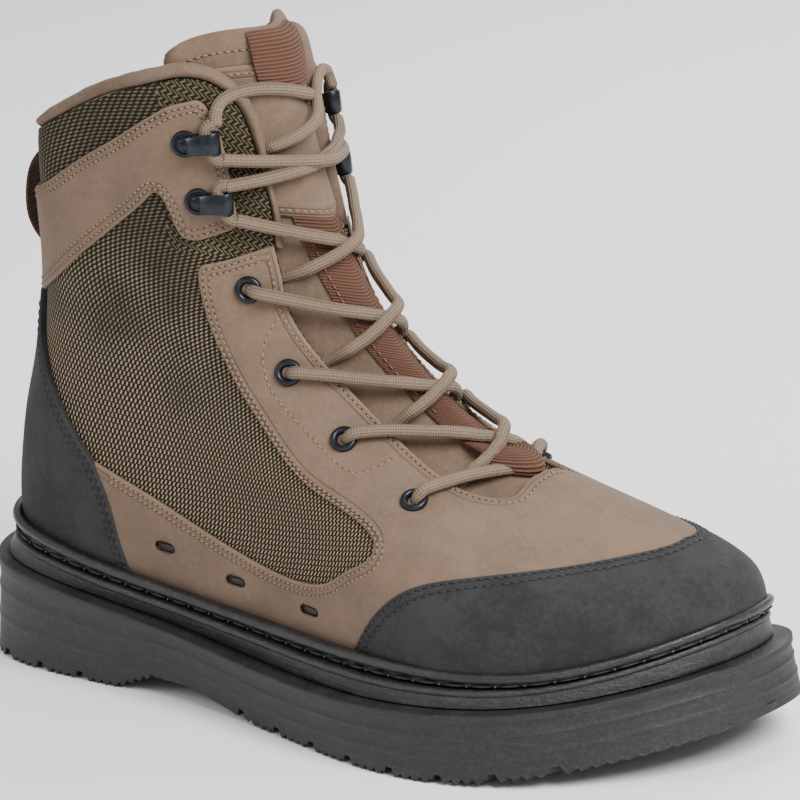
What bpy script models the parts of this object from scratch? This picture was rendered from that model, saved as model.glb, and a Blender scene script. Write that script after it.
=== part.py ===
"""Right wading boot as an assembly of closed solids.

Metres, +Z up, toe towards +X. The wearer's left side is +Y, which is the medial side of a right boot.
The boot is worked out with its heel at x = 0, then moved so that the sole is centred on the origin.
"""
import bpy
import bmesh
import math
import numpy as np
from mathutils import Vector
from mathutils.geometry import delaunay_2d_cdt

# Driving sizes of the sole
SOLE_LENGTH = 0.320
BALL_WIDTH = 0.1256
SEAT_HEIGHT = 0.0451
TOE_SPRING = 0.0158
ARCH_RISE = 0.0070
LUG_DEPTH = 0.0050
LUG_PITCH = 0.0195
LUG_GROOVE = 0.0040
SIDE_RIDGE = 0.0008
BEAD_RADIUS = 0.0018
GROOVE_DEPTH = 0.0003

# Driving sizes of the upper
UPPER_HEIGHT = 0.152
WALL = 0.0022
OVERLAY = 0.0013
COLLAR_PAD = 0.0035
COLLAR_ROLL_HEIGHT = 0.0045
COLLAR_ROLL_LOW = 0.0022
INSOLE_THICKNESS = 0.0045
TONGUE_THICKNESS = 0.0070
TONGUE_EDGE = 0.0022
WEBBING = 0.0016
PULL_LOOP_WIDTH = 0.013
PULL_LOOP_STAND = 0.0060

# Driving sizes of the fittings and the lace
EYELET_RADIUS = 0.0046
EYELET_HOLE = 0.0022
EYELET_HEIGHT = 0.0012
EYELET_SEAT = 0.0008
HOOK_LENGTH = 0.011
HOOK_WIDTH = 0.0075
HOOK_HEIGHT = 0.0066
HOOK_METAL = 0.0011
LACE_RADIUS = 0.0022
LACE_SIDES = 5
LACE_CLEARANCE = 0.0022
LACE_CLEARANCE_TOP = 0.0015

# Clearances between pieces
GAP = 0.0003
TOE_CAP_STEP = 0.0006
WELT_CLEARANCE = 0.0020
FEATHER_INSET = 0.0036
SOFT_CLEARANCE = 0.0008
INSOLE_CLEARANCE = 0.0018
SEAM_GAP = 0.00025

# Outline of the sole, heel to toe on the lateral side and back on the medial side.
# Columns: along (share of the sole's length), across (share of the ball width).
SOLE_PLAN = (
    (0.000, 0.000), (0.045, -0.243), (0.150, -0.321), (0.340, -0.340), (0.520, -0.447), (0.670, -0.534),
    (0.810, -0.476), (0.915, -0.301), (0.980, -0.097), (1.000, 0.097), (0.985, 0.291), (0.925, 0.418),
    (0.820, 0.466), (0.700, 0.466), (0.550, 0.398), (0.400, 0.340), (0.200, 0.350), (0.050, 0.262),
)
TOE_POINT = 9
# Where the sole's loops have their points, as shares of its length, on each side.
LOOP_SHARES = (
    0.004, 0.018, 0.042, 0.075, 0.115, 0.160, 0.205, 0.240, 0.270, 0.300, 0.350, 0.405, 0.460, 0.520,
    0.580, 0.635, 0.680, 0.720, 0.760, 0.795, 0.830, 0.860, 0.888, 0.914, 0.938, 0.960, 0.978, 0.990, 0.997,
)
# Heights of the sole's side lines. Columns: share of the length, then each line's height as a share of
# SEAT_HEIGHT.
SIDE_HEIGHTS = {
    "along": (0.03, 0.30, 0.50, 0.68, 0.88, 0.97),
    "ledge": (0.829, 0.632, 0.512, 0.525, 0.636, 0.772),
    "lip": (1.000, 0.798, 0.710, 0.685, 0.796, 0.991),
    "bead": (1.191, 0.922, 0.845, 0.831, 0.907, 1.113),
}
# How far each line lies inside the sole's bottom outline, as a share of BALL_WIDTH.
SIDE_INSETS = {
    "along": (0.00, 0.35, 0.65, 1.00),
    "ledge": (0.035, -0.034, 0.004, 0.029),
    "band": (0.055, 0.013, 0.047, 0.071),
    "lip": (0.086, 0.001, 0.053, 0.080),
    "bead": (0.092, 0.021, 0.074, 0.078),
}
# Height of the sole's underside. Columns: along, share of ARCH_RISE.
UNDERSIDE = ((0.00, 0.0), (0.24, 0.0), (0.30, 1.0), (0.35, 0.95), (0.46, 0.0), (1.00, 0.0))
SPRING_START = 0.72
# Rows up the outsole's wall. Columns: share of the wall's height, share of SIDE_RIDGE outwards.
WALL_ROWS = ((0.0, 0.0), (0.33, 0.0), (0.38, 1.0), (0.43, 0.0), (0.62, 0.0), (0.67, 1.0), (0.72, 0.0), (0.94, 0.0))

# Rows up the midsole's side. Columns: share of the band's height, share of the way from band to lip, shares of
# LIP_RADIUS outwards and down.
LIP_RADIUS = 0.0012
LIP_ROWS = ((0.45, 0.5, 0.0, 0.0), (1.0, 1.0, -0.25, 2.2), (1.0, 1.0, 0.5, 1.4), (1.0, 1.0, 0.2, 0.5),
            (1.0, 1.0, -1.0, 0.0))
# Rows round the welt's bead. Columns: shares of BEAD_RADIUS outwards (None is the groove) and down.
BEAD_ROWS = ((None, 2.05), (0.95, 1.6), (1.05, 0.75), (0.15, 0.0))

# Sections of the last from the feather edge to the collar. x columns are shares of SOLE_LENGTH, z columns and
# sag are shares of UPPER_HEIGHT above the heel seat, half widths are shares of BALL_WIDTH, and swing is the
# share of the centre line's swing that the section keeps.
SECTION_COLUMNS = ("back_x", "back_z", "front_x", "front_z", "heel", "waist", "ball", "toe", "sag", "swing")
SECTIONS = (
    (0.041, 0.001, 0.966, -0.002, 0.227, 0.303, 0.406, 0.358, 0.076, 1.0),
    (0.037, 0.055, 0.975, 0.036, 0.231, 0.307, 0.414, 0.366, 0.089, 1.0),
    (0.036, 0.118, 0.972, 0.091, 0.235, 0.307, 0.410, 0.354, 0.066, 1.0),
    (0.041, 0.203, 0.947, 0.144, 0.231, 0.295, 0.386, 0.303, 0.033, 1.0),
    (0.050, 0.302, 0.884, 0.203, 0.223, 0.283, 0.346, 0.223, 0.007, 0.8),
    (0.066, 0.407, 0.794, 0.259, 0.215, 0.275, 0.299, 0.155, -0.007, 0.6),
    (0.081, 0.526, 0.703, 0.341, 0.211, 0.271, 0.263, 0.119, -0.013, 0.3),
    (0.094, 0.644, 0.616, 0.466, 0.215, 0.279, 0.255, 0.119, -0.007, 0.1),
    (0.103, 0.763, 0.544, 0.624, 0.223, 0.295, 0.271, 0.135, -0.007, 0.0),
    (0.109, 0.888, 0.491, 0.861, 0.231, 0.311, 0.295, 0.159, -0.013, 0.0),
    (0.119, 0.999, 0.450, 1.210, 0.239, 0.318, 0.311, 0.183, -0.039, 0.0),
)
# Stations round a section: place round it (0 and 1 at the back seam, 0.5 at the front), share of the way from
# back to front, half width column, side.
STATIONS = (
    (0.000, 0.00, None, 0), (0.075, 0.09, "heel", -1), (0.195, 0.33, "waist", -1), (0.345, 0.62, "ball", -1),
    (0.450, 0.87, "toe", -1), (0.500, 1.00, None, 0), (0.550, 0.88, "toe", 1), (0.645, 0.68, "ball", 1),
    (0.790, 0.36, "waist", 1), (0.920, 0.09, "heel", 1),
)
# Sag of a section below its straight line and swing of its centre line. Columns: way from back to front, share.
SAG_CURVE = ((0.0, 0.0), (0.30, 0.79), (0.50, 1.0), (0.68, 1.0), (0.88, 0.70), (1.0, 0.0))
SWING_CURVE = ((0.0, 0.0), (0.34, -0.004), (0.65, -0.024), (0.87, 0.012), (1.0, 0.072))

# Lines on the upper, as (place round the boot, way up from feather edge to collar), on the lateral side.
# The medial side mirrors them.
COLLAR_EDGE = ((0.0, 0.980), (0.133, 0.982), (0.208, 0.990), (0.285, 0.995), (0.383, 0.992), (0.425, 0.988),
               (0.443, 0.978), (0.452, 0.960), (0.453, 0.930), (0.452, 0.900), (0.445, 0.865))
THROAT_EDGE = ((0.445, 0.865), (0.440, 0.830), (0.432, 0.790), (0.430, 0.735), (0.432, 0.680), (0.435, 0.585),
               (0.440, 0.525), (0.447, 0.493), (0.457, 0.488), (0.468, 0.512), (0.485, 0.550), (0.500, 0.562))
TOE_CAP_EDGE = ((0.330, 0.0), (0.337, 0.080), (0.346, 0.150), (0.362, 0.220), (0.385, 0.280), (0.408, 0.313),
                (0.438, 0.332), (0.470, 0.352), (0.500, 0.372))
COUNTER_EDGE = ((0.150, 0.0), (0.147, 0.095), (0.143, 0.185), (0.138, 0.270), (0.128, 0.355))
BACK_STAY_EDGE = ((0.128, 0.355), (0.113, 0.405), (0.095, 0.465), (0.072, 0.530), (0.050, 0.610), (0.042, 0.655))
BAND_EDGE = ((0.128, 0.355), (0.173, 0.310), (0.208, 0.270), (0.247, 0.235), (0.285, 0.220), (0.312, 0.235),
             (0.340, 0.290), (0.368, 0.340), (0.376, 0.375), (0.362, 0.420), (0.335, 0.465), (0.323, 0.560),
             (0.320, 0.655), (0.330, 0.735), (0.346, 0.800), (0.358, 0.828), (0.376, 0.838), (0.417, 0.852),
             (0.445, 0.865))
STAY_TOP = ((0.0, 0.630), (0.042, 0.655))
STRAP_LOWER = ((0.042, 0.655), (0.090, 0.710), (0.145, 0.780), (0.233, 0.858), (0.325, 0.908))
STRAP_TAB = ((0.325, 0.908), (0.338, 0.908), (0.347, 0.893), (0.350, 0.875), (0.360, 0.865), (0.388, 0.868),
             (0.412, 0.876), (0.425, 0.888), (0.430, 0.920), (0.432, 0.950), (0.428, 0.968), (0.415, 0.976),
             (0.383, 0.975))
STRAP_UPPER = ((0.383, 0.975), (0.325, 0.967), (0.268, 0.955), (0.182, 0.930), (0.113, 0.897), (0.0, 0.858))
DRAIN_SLOTS = ((0.178, 0.203), (0.233, 0.170), (0.298, 0.157))
SLOT_LENGTH = 0.0085
SLOT_WIDTH = 0.0026

# Centres of the eyelets and the lace hooks, lowest first, on the lateral side.
EYELETS = ((0.417, 0.465), (0.398, 0.570), (0.393, 0.685), (0.408, 0.812))
HOOKS = ((0.408, 0.903), (0.411, 0.948))

# Way of the lowest bar of lace, from the lateral eyelet to the end of the lace keeper.
LOWEST_BAR = ((0.417, 0.465), (0.436, 0.497), (0.460, 0.540), (0.482, 0.572), (0.500, 0.582))
STRAND_STEPS = 7
EDGE_ROOM = 0.0062
# The lower crossings ride up the instep and the lowest stops short, clear of the lowest bar.
CROSSING_LIFT = (0.046, 0.014, 0.0)
CROSSING_ROOM = (0.0150, EDGE_ROOM, EDGE_ROOM)

# Lattice of the upper: columns on each half and rows.
COLUMNS = (0.0, 0.022, 0.044, 0.070, 0.100, 0.135, 0.170, 0.205, 0.240, 0.275, 0.308, 0.338, 0.364, 0.386,
           0.406, 0.424, 0.440, 0.455, 0.470, 0.485, 0.500)
ROWS = (0.0, 0.065, 0.13, 0.20, 0.275, 0.35, 0.43, 0.51, 0.59, 0.67, 0.75, 0.83, 0.90, 0.955)
FOOT_FADE = 0.45
CHART_WIDTH = 0.60
CHART_HEIGHT = 0.19
EDGE_STEP = 0.0125
CLEAR_OF_EDGE = 0.0045
PAD_START = 0.80
PAD_FULL = 0.95

# Tongue. Columns: way up, half width as a share of the way round the boot.
TONGUE_ROWS = ((0.455, 0.070), (0.510, 0.078), (0.570, 0.084), (0.630, 0.088), (0.690, 0.092), (0.745, 0.095),
               (0.800, 0.098), (0.850, 0.101), (0.890, 0.105), (0.925, 0.112), (0.960, 0.120), (0.992, 0.126),
               (1.012, 0.122), (1.022, 0.112))
TONGUE_COLUMNS = (-1.0, -0.86, -0.66, -0.44, -0.22, 0.0, 0.22, 0.44, 0.66, 0.86, 1.0)
TONGUE_TOP_DROP = 0.010
PATCH_COLUMNS = (-0.34, -0.22, 0.0, 0.22, 0.34)

MATERIALS = {
    "rubber": ((0.035, 0.035, 0.037), 0.55, 0.0),
    "black_nubuck": ((0.050, 0.050, 0.053), 0.80, 0.0),
    "brown_nubuck": ((0.240, 0.182, 0.140), 0.80, 0.0),
    "mesh": ((0.120, 0.098, 0.055), 0.85, 0.0),
    "lining": ((0.060, 0.055, 0.045), 0.90, 0.0),
    "webbing": ((0.150, 0.070, 0.045), 0.80, 0.0),
    "metal": ((0.020, 0.022, 0.026), 0.30, 0.7),
    "lace": ((0.270, 0.210, 0.155), 0.80, 0.0),
}


def clear_scene():
    """Remove whatever the scene holds."""
    for item in list(bpy.data.objects):
        bpy.data.objects.remove(item, do_unlink=True)


def new_collection(name):
    """Add an empty collection to the scene."""
    collection = bpy.data.collections.new(name)
    bpy.context.scene.collection.children.link(collection)
    return collection


def material(name):
    """Plain finish from the table above."""
    found = bpy.data.materials.get(name)
    if found:
        return found
    color, roughness, metallic = MATERIALS[name]
    made = bpy.data.materials.new(name)
    made.use_nodes = True
    shader = made.node_tree.nodes["Principled BSDF"]
    shader.inputs["Base Color"].default_value = (*color, 1.0)
    shader.inputs["Roughness"].default_value = roughness
    shader.inputs["Metallic"].default_value = metallic
    return made


def second_derivatives(knots, values, period):
    """Second derivatives of the cubic spline through the values: natural, or closed with a period."""
    count = len(knots)
    if period:
        steps = np.diff(np.append(knots, knots[0] + period))
        slopes = (np.roll(values, -1, 0) - values) / steps[:, None]
        system = np.zeros((count, count))
        for i in range(count):
            system[i, i] = 2 * (steps[i - 1] + steps[i])
            system[i, i - 1] += steps[i - 1]
            system[i, (i + 1) % count] += steps[i]
        return steps, np.linalg.solve(system, 6 * (slopes - np.roll(slopes, 1, 0)))
    steps = np.diff(knots)
    slopes = np.diff(values, axis=0) / steps[:, None]
    system = np.eye(count)
    right = np.zeros_like(values)
    for i in range(1, count - 1):
        system[i, i - 1:i + 2] = steps[i - 1], 2 * (steps[i - 1] + steps[i]), steps[i]
        right[i] = 6 * (slopes[i] - slopes[i - 1])
    return steps, np.linalg.solve(system, right)


def spline(knots, values, at, period=None):
    """Read the cubic spline through the values at the places in at. Past its ends it runs straight on."""
    knots = np.asarray(knots, float)
    values = np.asarray(values, float)
    flat = values.ndim == 1
    if flat:
        values = values[:, None]
    at = np.atleast_1d(np.asarray(at, float))
    steps, bend = second_derivatives(knots, values, period)
    if period:
        at = (at - knots[0]) % period + knots[0]
        low = np.clip(np.searchsorted(knots, at, "right") - 1, 0, len(knots) - 1)
        high = (low + 1) % len(knots)
        inside = at
    else:
        inside = np.clip(at, knots[0], knots[-1])
        low = np.clip(np.searchsorted(knots, inside, "right") - 1, 0, len(knots) - 2)
        high = low + 1
    span = steps[low][:, None]
    t = (inside - knots[low])[:, None]
    slope = (values[high] - values[low]) / span - span * (2 * bend[low] + bend[high]) / 6
    result = values[low] + slope * t + bend[low] / 2 * t**2 + (bend[high] - bend[low]) / (6 * span) * t**3
    if not period:
        end_slope = slope + bend[low] * t + (bend[high] - bend[low]) / (2 * span) * t**2
        result = result + end_slope * (at - inside)[:, None]
    return result[:, 0] if flat else result


def smooth_line(points, step):
    """Points at about one step along the smooth curve through the given ones, ends included."""
    points = np.asarray(points, float)
    lengths = np.linalg.norm(np.diff(points, axis=0) * (CHART_WIDTH, CHART_HEIGHT), axis=1)
    places = np.append(0.0, np.cumsum(lengths))
    count = max(2, int(round(places[-1] / step)) + 1)
    return spline(places, points, np.linspace(0.0, places[-1], count))


def mirrored(line):
    """The same line on the medial side, run the other way."""
    return [(1.0 - u, v) for u, v in line][::-1]


class Sole:
    """Outline of the sole and the lines up its side."""

    def __init__(self):
        plan = np.array(SOLE_PLAN) * (SOLE_LENGTH, BALL_WIDTH)
        lengths = np.linalg.norm(np.roll(plan, -1, 0) - plan, axis=1)
        places = np.append(0.0, np.cumsum(lengths)[:-1])
        self.plan = plan
        self.places = places
        self.total = lengths.sum()
        self.points = self.loop_points()
        before = np.roll(self.points, 1, 0)
        after = np.roll(self.points, -1, 0)
        along = after - before
        normals = np.column_stack((along[:, 1], -along[:, 0]))
        self.normals = normals / np.linalg.norm(normals, axis=1)[:, None]
        low = self.points.min(0)
        high = self.points.max(0)
        self.centre = (low + high) / 2

    def loop_points(self):
        """Loop of outline points: heel, lateral side, toe, medial side."""
        toe = self.places[TOE_POINT]
        fine = 1200
        lateral = spline(self.places, self.plan, np.linspace(0.0, toe, fine), self.total)
        medial = spline(self.places, self.plan, np.linspace(self.total, toe, fine), self.total)
        rows = [lateral[0]]
        for share in LOOP_SHARES:
            rows.append(lateral[np.argmax(lateral[:, 0] >= share * SOLE_LENGTH)])
        rows.append(lateral[-1])
        for share in LOOP_SHARES[::-1]:
            rows.append(medial[np.argmax(medial[:, 0] >= share * SOLE_LENGTH)])
        return np.array(rows)

    def fine_line(self, line, further):
        """Closely spaced loop, further inside than a side line."""
        points = spline(self.places, self.plan, np.linspace(0.0, self.total, 2001)[:-1], self.total)
        along = np.roll(points, -1, 0) - np.roll(points, 1, 0)
        normals = np.column_stack((along[:, 1], -along[:, 0]))
        normals /= np.linalg.norm(normals, axis=1)[:, None]
        return points - normals * (self.inset(line, points[:, 0]) + further)[:, None]

    def height(self, line, x):
        """Height of a side line above the ground, level at the very heel and toe."""
        heights = np.array(SIDE_HEIGHTS[line]) * SEAT_HEIGHT
        along = np.array(SIDE_HEIGHTS["along"]) * SOLE_LENGTH
        return spline(along, heights, np.clip(x, along[0], along[-1]))

    def inset(self, line, x):
        """How far a side line lies inside the bottom outline."""
        insets = np.array(SIDE_INSETS[line]) * BALL_WIDTH
        return spline(np.array(SIDE_INSETS["along"]) * SOLE_LENGTH, insets, np.clip(x, 0.0, SOLE_LENGTH))

    def underside(self, x):
        """Height of the tread's lowest face: flat at heel and ball, raised at the arch and the toe."""
        along = x / SOLE_LENGTH
        arch = np.interp(along, [row[0] for row in UNDERSIDE], [row[1] for row in UNDERSIDE])
        past = np.clip((along - SPRING_START) / (1.0 - SPRING_START), 0.0, 1.0)
        return ARCH_RISE * arch + TOE_SPRING * past**1.6

    def line(self, insets, height):
        """Loop moved in from the outline by insets, at the height that a function gives for its x."""
        moved = self.points - self.normals * np.asarray(insets)[:, None]
        return np.column_stack((moved, height(moved[:, 0])))

    def between(self, low, top, share, up=0.0):
        """Height function that lies a share of the way from one side line to another."""
        def height(x):
            bottom = self.underside(x) if low == "underside" else self.height(low, x) + GAP
            return bottom + (self.height(top, x) - bottom) * share + up
        return height


class Last:
    """Surface of the lasted boot: the outer face of its overlays."""

    def __init__(self, sole):
        self.sole = sole
        self.ways = np.linspace(0.0, 1.0, len(SECTIONS))
        self.table = np.array(SECTIONS)
        self.places = np.array([station[0] for station in STATIONS])
        self.foot_places = np.linspace(0.0, 1.0, 721)
        foot = self.section(self.foot_places, np.zeros(721))[:, :2]
        feather = sole.fine_line("bead", FEATHER_INSET)
        gaps = np.linalg.norm(foot[:, None] - feather[None], axis=2)
        self.foot_pull = feather[np.argmin(gaps, axis=1)] - foot

    def stations(self, v):
        """Points of the stations on the sections at v."""
        rows = dict(zip(SECTION_COLUMNS, spline(self.ways, self.table, v).T))
        result = np.zeros((len(v), len(STATIONS), 3))
        for index, (_, way, half, side) in enumerate(STATIONS):
            sag = spline(*zip(*SAG_CURVE), way)[0] * rows["sag"]
            swing = spline(*zip(*SWING_CURVE), way)[0] * rows["swing"] * BALL_WIDTH
            width = rows[half] * BALL_WIDTH if half else 0.0
            x = (rows["back_x"] + (rows["front_x"] - rows["back_x"]) * way) * SOLE_LENGTH
            z = rows["back_z"] + (rows["front_z"] - rows["back_z"]) * way - sag
            result[:, index, 0] = x
            result[:, index, 1] = side * width + swing
            result[:, index, 2] = SEAT_HEIGHT + z * UPPER_HEIGHT
        return result

    def section(self, u, v):
        """Points of the splines through the stations."""
        weights = spline(self.places, np.eye(len(STATIONS)), u, 1.0)
        return np.einsum("ij,ijk->ik", weights, self.stations(v))

    def points(self, u, v):
        """Points of the surface. Its foot is drawn in to the feather line and down onto the midsole."""
        result = self.section(u, v)
        fade = np.clip(1.0 - v / FOOT_FADE, 0.0, 1.0)
        fade = fade * fade * (3 - 2 * fade)
        for axis in (0, 1):
            pull = np.interp(u % 1.0, self.foot_places, self.foot_pull[:, axis])
            result[:, axis] += pull * fade
        foot = np.clip(1.0 - v / self.ways[1], 0.0, 1.0)
        base = self.section(u, np.zeros(len(v)))
        pull = np.interp(u % 1.0, self.foot_places, self.foot_pull[:, 0])
        seat = self.sole.height("lip", base[:, 0] + pull) + GAP
        result[:, 2] += (seat - base[:, 2]) * foot
        return result

    def at(self, u, v, offset=0.0):
        """Points moved out along the surface's normal."""
        u = np.atleast_1d(np.asarray(u, float))
        v = np.atleast_1d(np.asarray(v, float))
        u, v = np.broadcast_arrays(u, v)
        small = 0.001
        across = self.points(u + small, v) - self.points(u - small, v)
        up = self.points(u, v + small) - self.points(u, np.maximum(v - small, 0.0))
        normals = np.cross(across, up)
        normals /= np.linalg.norm(normals, axis=1)[:, None]
        result = self.points(u, v) + normals * np.broadcast_to(offset, u.shape)[:, None]
        feet = v < small
        result[feet, 2] = self.sole.height("lip", result[feet, 0]) + GAP
        return result


def to_object(name, verts, faces, finish, collection, shift):
    """Make one closed mesh object, moved into the part's frame."""
    mesh = bpy.data.meshes.new(name)
    placed = np.asarray(verts, float) - (shift[0], shift[1], 0.0)
    mesh.from_pydata(placed.tolist(), [], [list(map(int, face)) for face in faces])
    mesh.validate()
    builder = bmesh.new()
    builder.from_mesh(mesh)
    bmesh.ops.remove_doubles(builder, verts=builder.verts, dist=1e-6)
    bmesh.ops.triangulate(builder, faces=builder.faces)
    builder.to_mesh(mesh)
    builder.free()
    mesh.shade_smooth()
    mesh.set_sharp_from_angle(angle=math.radians(35))
    mesh.materials.append(material(finish))
    item = bpy.data.objects.new(name, mesh)
    collection.objects.link(item)
    return item


def loft(loops, closed=False):
    """Faces of a stack of counter-clockwise loops: with ruled end faces, or closed into a ring."""
    count = len(loops[0])
    verts = np.concatenate(loops)
    faces = []
    levels = len(loops)
    for level in range(levels if closed else levels - 1):
        low = level * count
        high = (level + 1) % levels * count
        for i in range(count):
            j = (i + 1) % count
            faces.append((low + i, low + j, high + j, high + i))
    if not closed:
        top = (levels - 1) * count
        half = count // 2
        for i in range(half):
            ends = [i, i + 1, count - i - 1, (count - i) % count]
            ring = list(dict.fromkeys(ends))
            faces.append([top + k for k in ring])
            faces.append(ring[::-1])
    return verts, faces


def make_outsole(sole, collection, cutters, shift):
    """Lugged outsole: wall with two ridges, ledge, heel block, arch and toe spring."""
    lean = sole.inset("ledge", sole.points[:, 0])
    loops = []
    for share, ridge in WALL_ROWS:
        loops.append(sole.line(lean * share - ridge * SIDE_RIDGE, sole.between("underside", "ledge", share)))
    loops.append(sole.line(lean + SIDE_RIDGE, sole.between("underside", "ledge", 1.0)))
    item = to_object("outsole", *loft(loops), "rubber", collection, shift)
    cutter = make_lug_cutter(sole, cutters, shift)
    cut = item.modifiers.new("lugs", "BOOLEAN")
    cut.operation = "DIFFERENCE"
    cut.object = cutter
    return item


def make_lug_cutter(sole, cutters, shift):
    """Wedges that run in from both edges of the tread between its lugs."""
    forefoot = np.arange(0.445 * SOLE_LENGTH, 0.93 * SOLE_LENGTH, LUG_PITCH)
    heel = np.arange(0.075 * SOLE_LENGTH, 0.23 * SOLE_LENGTH, LUG_PITCH)
    verts = []
    faces = []
    for centre in np.concatenate((heel, forefoot)):
        for side in (-1, 1):
            chosen = sole.points[sole.points[:, 1] * side > 0]
            order = np.argsort(chosen[:, 0])
            edge = abs(np.interp(centre, chosen[order, 0], chosen[order, 1]))
            inner = edge * 0.42
            outer = edge + 0.02
            ground = float(sole.underside(np.array([centre]))[0])
            slant = 0.10 * (outer - inner)
            add_wedge(verts, faces, centre, side, (inner, outer), ground, slant)
    item = to_object("lug_cutter", verts, faces, "rubber", cutters, shift)
    item.hide_render = True
    item.display_type = "WIRE"
    return item


def add_wedge(verts, faces, centre, side, reach, ground, slant):
    """One wedge, wide at the ground and narrow at the lug's root."""
    base = len(verts)
    below = 0.004
    for across, lean in ((reach[0], 0.0), (reach[1], slant)):
        for height, half in ((-below, LUG_GROOVE / 2), (LUG_DEPTH, LUG_GROOVE / 3)):
            for end in (-1, 1):
                verts.append((centre - lean + end * half, side * across, ground + height))
    quads = [(0, 1, 3, 2), (4, 6, 7, 5), (0, 4, 5, 1), (2, 3, 7, 6), (0, 2, 6, 4), (1, 5, 7, 3)]
    for quad in quads:
        turned = quad if side > 0 else quad[::-1]
        faces.append([base + k for k in turned])


def make_midsole(sole, collection, shift):
    """Band between the outsole's ledge and the lip. Its top closes the upper underneath."""
    x = sole.points[:, 0]
    band = sole.inset("band", x)
    lip = sole.inset("lip", x)
    loops = [sole.line(band, sole.between("ledge", "lip", 0.0))]
    for share, blend, out, drop in LIP_ROWS:
        inset = band * (1.0 - blend) + lip * blend - out * LIP_RADIUS
        loops.append(sole.line(inset, sole.between("ledge", "lip", share, -drop * LIP_RADIUS)))
    under_upper = sole.inset("bead", x) + FEATHER_INSET
    loops.append(sole.line(under_upper, sole.between("ledge", "lip", 1.0)))
    return to_object("midsole", *loft(loops), "rubber", collection, shift)


def make_welt(sole, last, collection, shift):
    """Stitch groove and round bead, closed round the upper's feather edge."""
    inset = sole.inset("bead", sole.points[:, 0])
    outer = [sole.line(inset + GROOVE_DEPTH, sole.between("lip", "bead", 0.0, GAP))]
    for out, drop in BEAD_ROWS:
        depth = GROOVE_DEPTH if out is None else -out * BEAD_RADIUS
        outer.append(sole.line(inset + depth, sole.between("lip", "bead", 1.0, -drop * BEAD_RADIUS)))
    inner = []
    for way in (0.9 * last.ways[1], 0.0):
        ring = last.at(np.linspace(0.0, 1.0, 1201)[:-1], way, WELT_CLEARANCE)
        gaps = np.linalg.norm(outer[-1][:, None, :2] - ring[None, :, :2], axis=2)
        inner.append(ring[np.argmin(gaps, axis=1)])
    inner[0][:, 2] = np.minimum(inner[0][:, 2], sole.height("bead", inner[0][:, 0]) - 0.3 * BEAD_RADIUS)
    inner[1][:, 2] = sole.height("lip", inner[1][:, 0]) + 2 * GAP
    return to_object("welt", *loft(outer + inner, closed=True), "rubber", collection, shift)


def pad(v):
    """Extra thickness of the padded collar."""
    t = np.clip((np.asarray(v, float) - PAD_START) / (PAD_FULL - PAD_START), 0.0, 1.0)
    return COLLAR_PAD * t * t * (3 - 2 * t)


def inner_face(v):
    """Depth of the upper's inner face under the overlays' outer face."""
    return OVERLAY + GAP + WALL + pad(v)


def inside(polygon, points):
    """Which points lie inside a polygon."""
    result = np.zeros(len(points), bool)
    previous = polygon[-1]
    for current in polygon:
        crosses = (current[1] > points[:, 1]) != (previous[1] > points[:, 1])
        rise = previous[1] - current[1]
        if rise != 0.0:
            reach = (previous[0] - current[0]) * (points[:, 1] - current[1]) / rise + current[0]
            result ^= crosses & (points[:, 0] < reach)
        previous = current
    return result


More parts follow.
